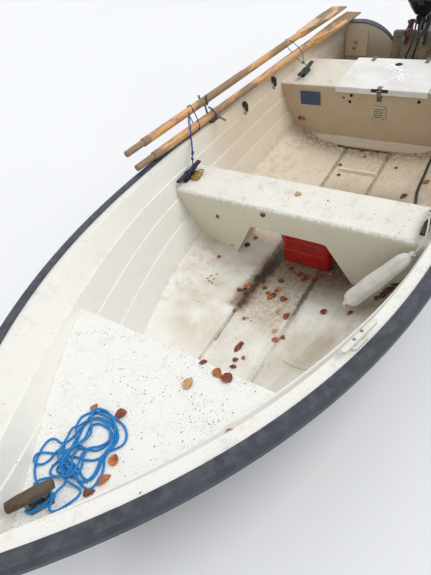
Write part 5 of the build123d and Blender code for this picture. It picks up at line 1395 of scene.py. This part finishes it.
@dataclass
class Hoses:
    """Fuel hose, charging lead and stop cord that run from the motor's hose guide into the boat."""

    start: Point = (-2.000, 0.0, 0.360)
    end: Point = (-2.130, 0.0, 0.386)
    hose: float = 0.014
    lead: float = 0.012
    stop: float = 0.006

    def dropped(self, route: Sequence[tuple[float, float, float | None]], cord: float) -> list[Vector]:
        """Give the points without a height the height of the floor below them."""
        lift = Vector((0, 0, cord / 2 + 0.0018))
        return [on_node(LINER_NODES, x, y) + lift if z is None else Vector((x, y, z)) for x, y, z in route]

    def build(self) -> None:
        gx, gz = GUIDE_X, GUIDE_Z
        over_seat = 0.3282
        fuel = ((gx, 0.016, gz), (gx + 0.028, 0.016, gz), (-2.076, 0.019, 0.379), (-2.040, 0.025, 0.360),
                (-2.008, 0.031, 0.330), (-1.986, 0.033, 0.292), (-1.976, 0.028, 0.246),
                (-1.975, 0.014, 0.196), (-1.974, 0.008, 0.138), (-1.968, 0.022, 0.082),
                (-1.948, 0.055, 0.028), (-1.910, 0.105, -0.014), (-1.856, 0.166, None),
                (-1.785, 0.232, None), (-1.715, 0.300, -0.022), (-1.660, 0.362, 0.022),
                (-1.627, 0.396, 0.092), (-1.621, 0.410, 0.168), (-1.634, 0.416, 0.238),
                (-1.641, 0.418, 0.290), (-1.622, 0.419, 0.338), (-1.580, 0.420, 0.366),
                (-1.530, 0.420, 0.366), (-1.482, 0.421, 0.342), (-1.429, 0.423, over_seat + 0.001),
                (-1.368, 0.426, over_seat), (-1.310, 0.424, 0.334), (-1.256, 0.421, 0.349),
                (-1.204, 0.419, 0.343), (-1.166, 0.417, 0.308), (-1.156, 0.416, 0.258),
                (-1.164, 0.415, 0.202), (-1.180, 0.414, 0.122), (-1.177, 0.413, 0.046),
                (-1.148, 0.412, -0.004), (-1.094, 0.410, None), (-1.008, 0.413, None),
                (-0.905, 0.419, None), (-0.800, 0.421, None), (-0.712, 0.428, None), (-0.632, 0.448, None),
                (-0.556, 0.458, None), (-0.494, 0.440, None), (-0.442, 0.398, None),
                (-0.406, 0.346, -0.048), (-0.384, 0.306, 0.0), (-0.368, 0.276, 0.046),
                (-0.356, 0.250, 0.098), (-0.347, 0.220, 0.138), (-0.346, 0.186, 0.155),
                (-0.345, 0.1622, 0.156))
        lead = ((gx, -0.015, gz), (gx + 0.026, -0.015, gz), (-2.080, -0.013, 0.380), (-2.044, -0.008, 0.360),
                (-2.014, -0.004, 0.330), (-1.994, -0.004, 0.292), (-1.985, -0.014, 0.250),
                (-1.983, -0.030, 0.204), (-1.982, -0.038, 0.152), (-1.976, -0.044, 0.098),
                (-1.962, -0.058, 0.046), (-1.934, -0.084, 0.002), (-1.896, -0.120, None),
                (-1.852, -0.150, None), (-1.812, -0.166, None))
        stop = ((gx, -0.028, gz + 0.004), (gx + 0.020, -0.028, gz + 0.004), (-2.098, -0.029, 0.385),
                (-2.076, -0.031, 0.369), (-2.050, -0.034, 0.352), (-2.024, -0.040, 0.336),
                (-2.004, -0.052, 0.319), (-2.004, -0.062, 0.299))
        hose = Cord("fuel_line", self.dropped(fuel, self.hose), self.hose, Finish.HOSE, ("fuel_hose",),
                    "object", "stiff", sides=14, step=0.008, body=None).build()
        wire = Cord("charging_lead", self.dropped(lead, self.lead), self.lead, Finish.HOSE, ("charge_lead",),
                    "plug", "medium", sides=12, step=0.006, body=None).build()
        cord = Cord("safety_lanyard", self.dropped(stop, self.stop), self.stop, Finish.RED, ("stop_cord",),
                    "fitting", "medium", body=None).build()
        for item in (hose, wire, cord):
            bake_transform(item.piece)
        hose.declare()
        wire.declare([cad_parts["lead_plug"]])
        cord.declare([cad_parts["stop_clip"]])


# Small fittings


@dataclass
class GunwaleHooks:
    """Black buttons with a hanging strap and a wire hook under the starboard gunwale."""

    camera: Camera
    pixels: Pairs = ((244.0, 104.5), (272.8, 79.5))
    # columns: along the wall, down it and out of it
    hook: tuple[Point, ...] = (
        (0.0, 0.002, 0.012), (0.012, -0.010, 0.022), (0.026, -0.014, 0.032), (0.042, -0.006, 0.038),
        (0.050, 0.012, 0.040), (0.054, 0.030, 0.040), (0.064, 0.038, 0.040), (0.074, 0.030, 0.040),
        (0.075, 0.018, 0.040))

    def build(self) -> None:
        """Make buttons, straps and hooks."""
        straps, hooks, spots = [], [], []
        for px, py in self.pixels:
            place, normal = self.camera.seen(px, py, LINER_NODES)
            LOG.info("hook at %s, facing %s", tuple(place), tuple(normal))
            down = (Vector(DOWN) + normal * normal.z).normalized()
            along = down.cross(normal)
            along = along if along.x > 0 else -along
            spots.append(standing(place + normal * 0.0003, normal))
            base = place + normal * 0.010
            straps.append(even_points([base + normal * 0.006, base + down * 0.012 + normal * 0.006,
                                       base + down * 0.028 + normal * 0.003, base + down * 0.046], 0.004))
            steps = [place + along * a + down * d + normal * n for a, d, n in self.hook]
            hooks.append(smooth_line(steps, 0.0035))
        Head.HOOK_BUTTON.set_on("hook_buttons", spots, Finish.BLACK)
        straps = tubes(straps, lambda share, angle: 0.0115 * (1 - 0.5 * share), 12)
        settle(straps, "hook_straps", Finish.BLACK, "boat")
        settle(tubes(hooks, 0.0030, 8), "wire_hooks", Finish.BLACK, "boat")


@dataclass
class RailClip:
    """Small wire clip on the starboard rail's inner edge."""

    x: float = 0.570

    def build(self) -> None:
        """Bend the wire over the edge."""
        top = on_node(("rub_rail",), self.x, -0.700, 0.7)
        steps = ((0.0, -0.016, 0.003), (0.002, -0.004, 0.0035), (0.003, 0.006, 0.003), (0.005, 0.016, -0.001),
                 (0.010, 0.021, -0.008), (0.016, 0.018, -0.011), (0.018, 0.010, -0.007))
        wire = smooth_line([top + Vector(step) for step in steps], 0.002)
        settle(tube(wire, 0.0022, 8), "rail_clip", Finish.STEEL, "boat")


@dataclass
class ScrewHeads:
    """Screw and bolt heads on plates and fittings, sunk a little and each turned further than the last one."""

    sunk: float = 0.0002
    turn: float = 37.0

    def spots(self, node: str, starts: Sequence[Point], way: Point) -> list[Matrix]:
        """Places where rays along a way meet a node, each facing out.

        Args:
            node: CAD node.
            starts: starts of the rays.
            way: their direction.

        Returns:
            The matrices.
        """
        rays = [met((node,), start, way) for start in starts]
        return [standing(place - normal * self.sunk, normal, self.turn * n)
                for n, (place, normal) in enumerate(rays)]

    def build(self) -> None:
        """Make every set of heads."""
        sides, corners = (-1, 1), [(a, b) for a in (-1, 1) for b in (-1, 1)]
        bolts = [(-1.7, s * y, z) for s in sides for y, z in ((0.431, 0.252), (0.441, 0.214))]
        Head.TRANSOM_BOLT.set_on("transom_bolts", self.spots("transom_plates", bolts, AFT))
        screws = []
        for node, y, z, wide, high in (("data_plate", -0.428, 0.230, 0.064, 0.039),
                                       ("vent_grille", 0.033, 0.168, 0.036, 0.036),
                                       ("hasp_staple", 0.031, 0.262, 0.0105, 0.012)):
            screws += self.spots(node, [(-1.0, y + a * wide, z + b * high) for a, b in corners], AFT)
        Head.SMALL_SCREW.set_on("small_screws", screws)
        sockets = [(-0.5 + a * 0.037, s * 0.7175, 0.6) for s, a in corners]
        post = [(1.58 + a * 0.00825, -0.0035 + a * 0.00825, 0.5) for a in (1, -1)]
        Head.SOCKET_SCREW.set_on("socket_screws", self.spots("rowlock_sockets", sockets, DOWN)
                                 + self.spots("bow_cleat_post", post, DOWN))
        leaves = [(x, y, 0.6) for y in (-0.140, 0.202) for x in (-1.612, -1.592)]
        Head.HINGE_SCREW.set_on("hinge_screws", self.spots("lid_hinge_leaves", leaves, DOWN), body="lid")
        pad = [(-1.7, y, z) for y in (-0.125, 0.125) for z in (0.30, 0.20)]
        Head.PAD_BOLT.set_on("pad_bolts", self.spots("motor_pad", pad, AFT))
        nuts = []
        for side in sides:
            nuts += self.spots("motor_clamp", [(-2.1573, side * 0.4, 0.3571)], (0, -side, 0))
        Head.TILT_NUT.set_on("tilt_nuts", nuts)


@dataclass
class PadlockLook:
    """Laminated brass padlock with a steel shackle."""

    place: Point = (-0.080, -0.592, 0.3204)
    turn: float = -84.0
    wide: float = 0.044
    long: float = 0.058
    thick: float = 0.024
    sheets: int = 8
    shackle_out: float = 0.041
    shackle_radius: float = 0.015
    rod: float = 0.0034

    def build(self) -> None:
        """Stack the sheets, set the rivets and bend the shackle."""
        seat = Matrix.Translation(Vector(self.place)) @ Matrix.Rotation(math.radians(self.turn), 4, "Z")
        pitch = self.long / self.sheets
        spots = [seat @ Matrix.Translation((0, -self.long / 2 + pitch * (n + 0.5), self.thick / 2))
                 @ Matrix.Diagonal((1 - 0.035 * (n % 2), 1, 1 - 0.05 * (n % 2), 1))
                 for n in range(self.sheets)]
        body = copies(block((self.wide, pitch * 0.97, self.thick), 0.0016), spots)
        rivets = [seat @ standing((a * 0.016, self.long / 2 - 0.0004, self.thick / 2 + b * 0.006), (0, 1, 0))
                  for a in (-1, 1) for b in (-1, 1)]
        body = joined([body, copies(Head.RIVET.model(), rivets)])
        settle(body, "padlock_body", Finish.BRASS, "boat", 30)
        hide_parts("padlock")
        r, low = self.shackle_radius, -self.long / 2
        half = [(r, low + 0.004), (r, low - 0.006), (r, -self.shackle_out), (r, -0.052), (0.007, -0.0585)]
        route = [(-x, y) for x, y in half] + half[::-1]
        line = smooth_line([seat @ Vector((x, y, self.thick / 2)) for x, y in route], 0.0025)
        settle(tube(line, self.rod, 12), "padlock_shackle", Finish.STEEL, "boat")


@dataclass
class FenderLook:
    """White inflatable fender, a little slack, with ribs and moulded ends."""

    low: Point = FENDER_LOW
    high: Point = FENDER_HIGH
    radius: float = 0.0435
    shoulder: float = 0.0125
    neck: float = 0.021
    ribs: int = 8

    def build(self) -> None:
        """Make the body, its ends and their eyes."""
        low, high = Vector(self.low), Vector(self.high)
        way = (high - low).normalized()
        whole = (high - low).length + 2 * self.neck

        def shape(share: float, angle: float) -> float:
            """Radius with rounded shoulders, ribs and slack dents."""
            along = share * whole - self.neck
            long = whole - 2 * self.neck
            edge = min(along, long - along)
            if edge < 0:
                return 0.0122 + 0.001 * math.cos(2 * angle)
            shoulder = min(1.0, edge / 0.05)
            round_off = math.sqrt(max(0.0, 1 - (1 - shoulder) ** 2))
            rib = 0.0013 * math.cos(self.ribs * angle) * round_off
            dent = 0.0016 * math.sin(2 * angle + 9 * share) * math.sin(3 * math.pi * share)
            slack = min(1.0, max(0.0, (share - 0.48) / 0.5)) ** 1.3
            crease = 0.0030 * slack * round_off * math.cos(5 * angle + 2.5 * share)
            full = (self.radius - self.shoulder - 0.0035) * (1 - 0.46 * slack)
            return self.shoulder + full * round_off + rib * (1 - slack) + dent + crease

        line = even_points([low - way * self.neck, high + way * self.neck], 0.006)
        body = settle(tube(line, shape, 48), "fender_body", Finish.FENDER, "boat", 50)
        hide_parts("fender")
        rings = []
        for end, out in ((low, -1), (high, 1)):
            middle = end + way * (out * (self.neck - 0.009))
            side = way.orthogonal().normalized()
            over = way.cross(side)
            rings.append([middle + (way * math.cos(t) * 0.0065 + over * math.sin(t) * 0.0065) + side * 0.0105
                          for t in (2 * math.pi * n / 24 for n in range(25))])
        settle(tubes(rings, 0.0022, 8), "fender_grommets", Finish.BLACK, "boat")


@dataclass
class TankLook:
    """Moulded seams, carrying handle and cap of the fuel tank."""

    low: Point = (-0.395, -0.078, -0.076)
    high: Point = (-0.020, 0.200, 0.142)
    corner: float = 0.034
    seam: float = -0.02
    seam_gap: float = 0.068

    def build(self) -> None:
        """Make the seams, the handle and the cap."""
        low, high = Vector(self.low), Vector(self.high)
        middle, size = (low + high) / 2, high - low
        r, line = self.corner, []
        for n, (a, b) in enumerate(((1, 1), (-1, 1), (-1, -1), (1, -1))):
            x, y = a * (size.x / 2 - r), b * (size.y / 2 - r)
            for k in range(9):
                t = math.pi / 2 * (n + k / 8)
                line.append(middle + Vector((x + r * math.cos(t), y + r * math.sin(t), self.seam)))
        line.append(line[0].copy())
        upper = [p + Vector((0, 0, self.seam_gap)) for p in line]
        settle(tubes([line, upper], 0.0032, 8), "tank_seams", Finish.TANK, "boat")
        top = high.z
        grip = smooth_line([(x, y, top + up) for x, y, up in (
            (-0.13, 0.02, -0.004), (-0.13, 0.02, 0.014), (-0.15, 0.022, 0.026), (-0.19, 0.026, 0.028),
            (-0.23, 0.030, 0.026), (-0.25, 0.032, 0.014), (-0.25, 0.032, -0.004))], 0.005)
        settle(tube(grip, lambda share, angle: 0.0075 + 0.0015 * abs(math.cos(angle)), 12), "tank_handle",
               Finish.TANK, "boat")
        spot = Matrix.Translation((low.x + 0.090, high.y - 0.110, top + 0.0183))
        Head.TANK_CAP.set_on("tank_cap_top", [spot], Finish.BLACK)


@dataclass
class MotorLook:
    """Starter boss and grip, latch, trim block and hose collars of the outboard motor."""

    def build(self) -> None:
        """Make the pieces on the cowl, the leg and the hoses."""
        place, normal = met(("cowl",), (-1.8, 0.0, 0.56), AFT)
        seat = standing(place - normal * 0.0005, normal)
        Head.STARTER_BOSS.set_on("starter_boss", [seat], Finish.MOTOR, "motor")
        seat = standing(place + normal * 0.018, normal) @ Matrix.Rotation(math.radians(90), 4, "Y")
        self.part("starter_grip", (0.016, 0.072, 0.020), 0.007, seat, 4)
        place, normal = met(("cowl",), (-2.8, 0.0, 0.53), (1, 0, 0))
        self.part("cowl_latch", (0.034, 0.040, 0.009), 0.003, standing(place + normal * 0.003, normal))
        place = met(("motor_leg",), (-2.36, 0.0, -0.2), (0, 0, 1))[0]
        seat = Matrix.Translation(place - Vector((0, 0, 0.005)))
        self.part("trim_block", (0.046, 0.022, 0.012), 0.004, seat, finish=Finish.PROP)
        self.collars()

    def part(self, name: str, size: Point, bevel: float, seat: Matrix, segments: int = 3,
             finish: Finish = Finish.BLACK) -> None:
        """Rounded block on the motor.

        Args:
            name: the piece's name.
            size: its size.
            bevel: width of its rounded edges.
            seat: its place.
            segments: steps of the rounded edges.
            finish: its finish.
        """
        settle(copies(block(size, bevel, segments), [seat]), name, finish, "motor", 60)

    def collars(self) -> None:
        """Tapered collars where the hoses leave the guide and meet the tank."""
        lines = [even_points([Vector((GUIDE_X + out, y, GUIDE_Z)) for out in outs], 0.003)
                 for y, outs in ((0.016, (-0.001, 0.012, 0.022)), (-0.015, (-0.001, 0.011, 0.020)))]
        collars = tubes(lines, lambda share, angle: 0.0098 - 0.0022 * share, 16)
        settle(collars, "hose_collars", Finish.BLACK, "motor_swivel")
        end = Vector((-0.345, 0.162, 0.156))
        line = even_points([end + Vector((0, -0.001, 0)), end + Vector((-0.0006, 0.026, 0))], 0.003)
        ribbed = tube(line, lambda share, angle: 0.0112 - 0.0026 * share + 0.0006 * (int(share * 8) % 2), 16)
        settle(ribbed, "tank_connector", Finish.BLACK, "boat")


@dataclass
class LockerDetails:
    """Black discs of painted shade in the holes of the locker's front and lid, and the black plate of the
    hasp.
    """

    # across and up on the locker's front; place of the lid's hole; the two ends of the hasp's plate
    front_holes: Pairs = ((-0.192, 0.255), (-0.146, 0.269), (-0.155, 0.228), (0.267, 0.261))
    lid_hole: Point = (-1.537, 0.041, 0.3262)
    hasp_y: tuple[float, float] = (-0.019, 0.084)

    def build(self) -> None:
        """Make the painted shades and the plate."""
        rays = [met(("stern_seat",), (-1.0, y, z), AFT) for y, z in self.front_holes]
        hole_shade_spots = [standing(place + normal * 0.0011, normal) for place, normal in rays]
        Head.FRONT_HOLE.set_on("front_hole_rims", hole_shade_spots, Finish.HOLE)
        Head.LID_HOLE.set_on("lid_hole_shade", [standing(self.lid_hole, (0, 0, 1))], Finish.HOLE, "lid")
        starboard, port = self.hasp_y
        place, normal = met(("locker_lid",), (-1.0, (starboard + port) / 2, 0.318), AFT)
        plate = copies(block((0.004, port - starboard, 0.020), 0.0012),
                       [Matrix.Translation(place + normal * 0.0012)])
        settle(plate, "hasp_plate", Finish.BLACK, "lid")
        knuckle = copies(block((0.008, 0.030, 0.010), 0.003, 3), [Matrix.Translation(place + normal * 0.006)])
        settle(knuckle, "hasp_knuckle", Finish.STEEL, "lid")


@dataclass
class CleatCovers:
    """Bolt heads on the white gunwale cleat."""

    def build(self) -> None:
        """Make the two heads."""
        rays = [met(("gunwale_cleat",), (0.755 + end * 0.020, 0.6145 - end * 0.004, 0.8), DOWN)
                for end in (-1, 1)]
        Head.CLEAT_BOLT.set_on("cleat_bolts", [standing(place - normal * 0.0002, normal)
                                               for place, normal in rays])


# Leaves


@dataclass
class Litter:
    """Fallen leaves, each lying on what the camera sees at its place."""

    # columns: pixel across, pixel down, length in mm, kind
    leaves: tuple[tuple[float, float, float, str], ...] = (
        (188.7, 383.5, 44, "t"), (95, 408, 30, "o"), (120.5, 415, 40, "b"), (114.3, 460, 36, "o"),
        (104, 480, 44, "o"), (89.3, 493, 34, "b"), (229.5, 431, 22, "o"), (263.3, 214.5, 30, "b"),
        (217.7, 216, 26, "b"), (298, 194.6, 34, "t"), (403.6, 196.8, 44, "b"), (323.7, 311.7, 40, "b"),
        (350.3, 313.2, 30, "b"), (270, 297.7, 36, "o"), (284, 299.2, 40, "b"), (286.9, 316.2, 44, "b"),
        (279.6, 311.7, 36, "t"), (235.4, 311, 30, "o"), (244.2, 318.4, 26, "o"), (275, 331, 30, "t"),
        (275, 340, 34, "o"), (283, 338, 26, "b"), (238.6, 347, 36, "b"), (236.5, 350, 30, "b"),
        (241, 344, 28, "b"), (243.5, 358, 24, "o"), (235.7, 360, 28, "b"), (233, 367, 32, "b"),
        (217.7, 373.6, 40, "o"), (226.5, 378, 42, "b"), (203, 362.6, 28, "b"), (219, 257, 28, "o"),
        (247, 245, 34, "d"), (256, 238, 30, "o"), (281, 281, 34, "b"), (248, 287, 36, "o"),
        (245, 291, 34, "d"), (240, 290, 30, "d"), (340, 165, 26, "b"), (338.5, 175, 28, "b"),
        (362.8, 151, 26, "b"), (365, 156.6, 26, "b"), (396, 168, 24, "b"), (427, 182, 40, "o"),
        (300, 117.6, 34, "b"), (304, 118.5, 30, "o"), (390, 290, 50, "d"), (384, 295, 44, "d"),
        (396, 284, 44, "d"), (387, 291, 40, "b"), (378, 298, 36, "d"), (300, 275, 36, "b"),
        (307, 277.5, 34, "b"), (291, 269, 34, "b"), (315, 279, 36, "b"), (296, 272.5, 32, "o"),
        (321, 277, 34, "b"), (304, 280, 30, "b"), (288, 264, 30, "o"), (329, 275, 28, "o"),
        (274, 295, 34, "b"), (279, 290, 30, "o"), (265, 288, 28, "b"), (268, 293, 30, "o"),
        (276, 291, 26, "b"))
    # millimetres of the column above for one metre of the model
    per_metre: float = 880.0
    kinds: dict[str, Finish] = field(default_factory=lambda: {
        "o": Finish.LEAF_ORANGE, "t": Finish.LEAF_TAN, "b": Finish.LEAF_BROWN, "d": Finish.LEAF_DARK})
    crumbs: Pairs = (
        (209, 281), (211, 276), (214, 279), (216, 285), (217, 274), (212, 283), (207.5, 278.5), (248, 318),
        (251, 321), (232, 245), (246.5, 247), (328, 200.5))

    def model(self) -> Piece:
        """One leaf, 1 m long, lying on the origin."""
        deselect()
        bpy.ops.mesh.primitive_grid_add(x_subdivisions=9, y_subdivisions=5, size=1)
        piece = bpy.context.object
        for vertex in piece.data.vertices:
            u, v = vertex.co.x + 0.5, vertex.co.y * 2
            half = 0.34 * math.sin(math.pi * min(1.0, u * 1.02) ** 0.8) ** 0.75 + 0.012
            half *= 1 + 0.10 * math.sin(26 * u)
            vertex.co = (u - 0.5, v * half, 0.12 * v * v * math.sin(math.pi * u) + 0.05 * math.sin(5 * u))
        apply_modifier(piece, "SOLIDIFY", thickness=0.018, offset=1.0)
        return piece

    def build(self, camera: Camera) -> None:
        """Lay the leaves, in one piece for each kind."""
        chance = random.Random(11)
        places: dict[str, list[Matrix]] = {kind: [] for kind in self.kinds}
        for px, py, long, kind in self.leaves:
            place, normal = camera.seen(px, py)
            size = long / self.per_metre
            lean = (normal + Vector((chance.uniform(-0.1, 0.1), chance.uniform(-0.1, 0.1), 0))).normalized()
            seat = standing(place + normal * (0.0012 + 0.02 * size), lean, chance.uniform(0, 360))
            wide, curl = size * chance.uniform(0.8, 1.15), size * chance.uniform(0.7, 1.3)
            places[kind].append(seat @ Matrix.Diagonal((size, wide, curl, 1)))
        crumb_spots = []
        for px, py in self.crumbs:
            place, normal = camera.seen(px, py)
            size = chance.uniform(0.006, 0.012)
            crumb_spots.append(standing(place + normal * 0.001, normal, chance.uniform(0, 360))
                               @ Matrix.Diagonal((size * 1.6, size * 0.6, size * 0.5, 1)))
        for kind, finish in self.kinds.items():
            settle(copies(self.model(), places[kind]), f"{finish.name.lower()}s", finish, "boat", 30)
        settle(copies(self.crumb(), crumb_spots), "dark_crumbs", Finish.LEAF_DARK, "boat", 50)

    def crumb(self) -> Piece:
        """A small lump of debris."""
        deselect()
        bpy.ops.mesh.primitive_ico_sphere_add(subdivisions=2, radius=0.5)
        piece = bpy.context.object
        for vertex in piece.data.vertices:
            vertex.co *= 1 + 0.25 * math.sin(7 * vertex.co.x + 5 * vertex.co.y)
        return piece


def dress_nodes() -> None:
    """Give every CAD node its finish."""
    for name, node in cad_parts.items():
        finish = NODE_FINISH.get(name)
        if finish is None:
            continue
        node.data.materials.clear()
        node.data.materials.append(finish.material())
        pick(node)
        bpy.ops.object.shade_smooth_by_angle(angle=math.radians(SMOOTH_CAD))
    deselect()


def main() -> None:
    """Build the scene in order and report each part."""
    logging.basicConfig(level=logging.INFO, format="%(message)s")
    random.seed(4)
    bpy.context.scene.view_settings.view_transform = "Standard"
    deselect()
    camera = Camera()
    camera.build()
    Litter().build(camera)
    Ropework().build()
    Hoses().build()
    Stage().build()
    dress_nodes()
    for assembly in (GunwaleHooks(camera), RailClip(), ScrewHeads(), PadlockLook(), FenderLook(), TankLook(),
                     MotorLook(), LockerDetails(), CleatCovers()):
        assembly.build()
        LOG.info("%s done", type(assembly).__name__)


if __name__ == "__main__":
    main()
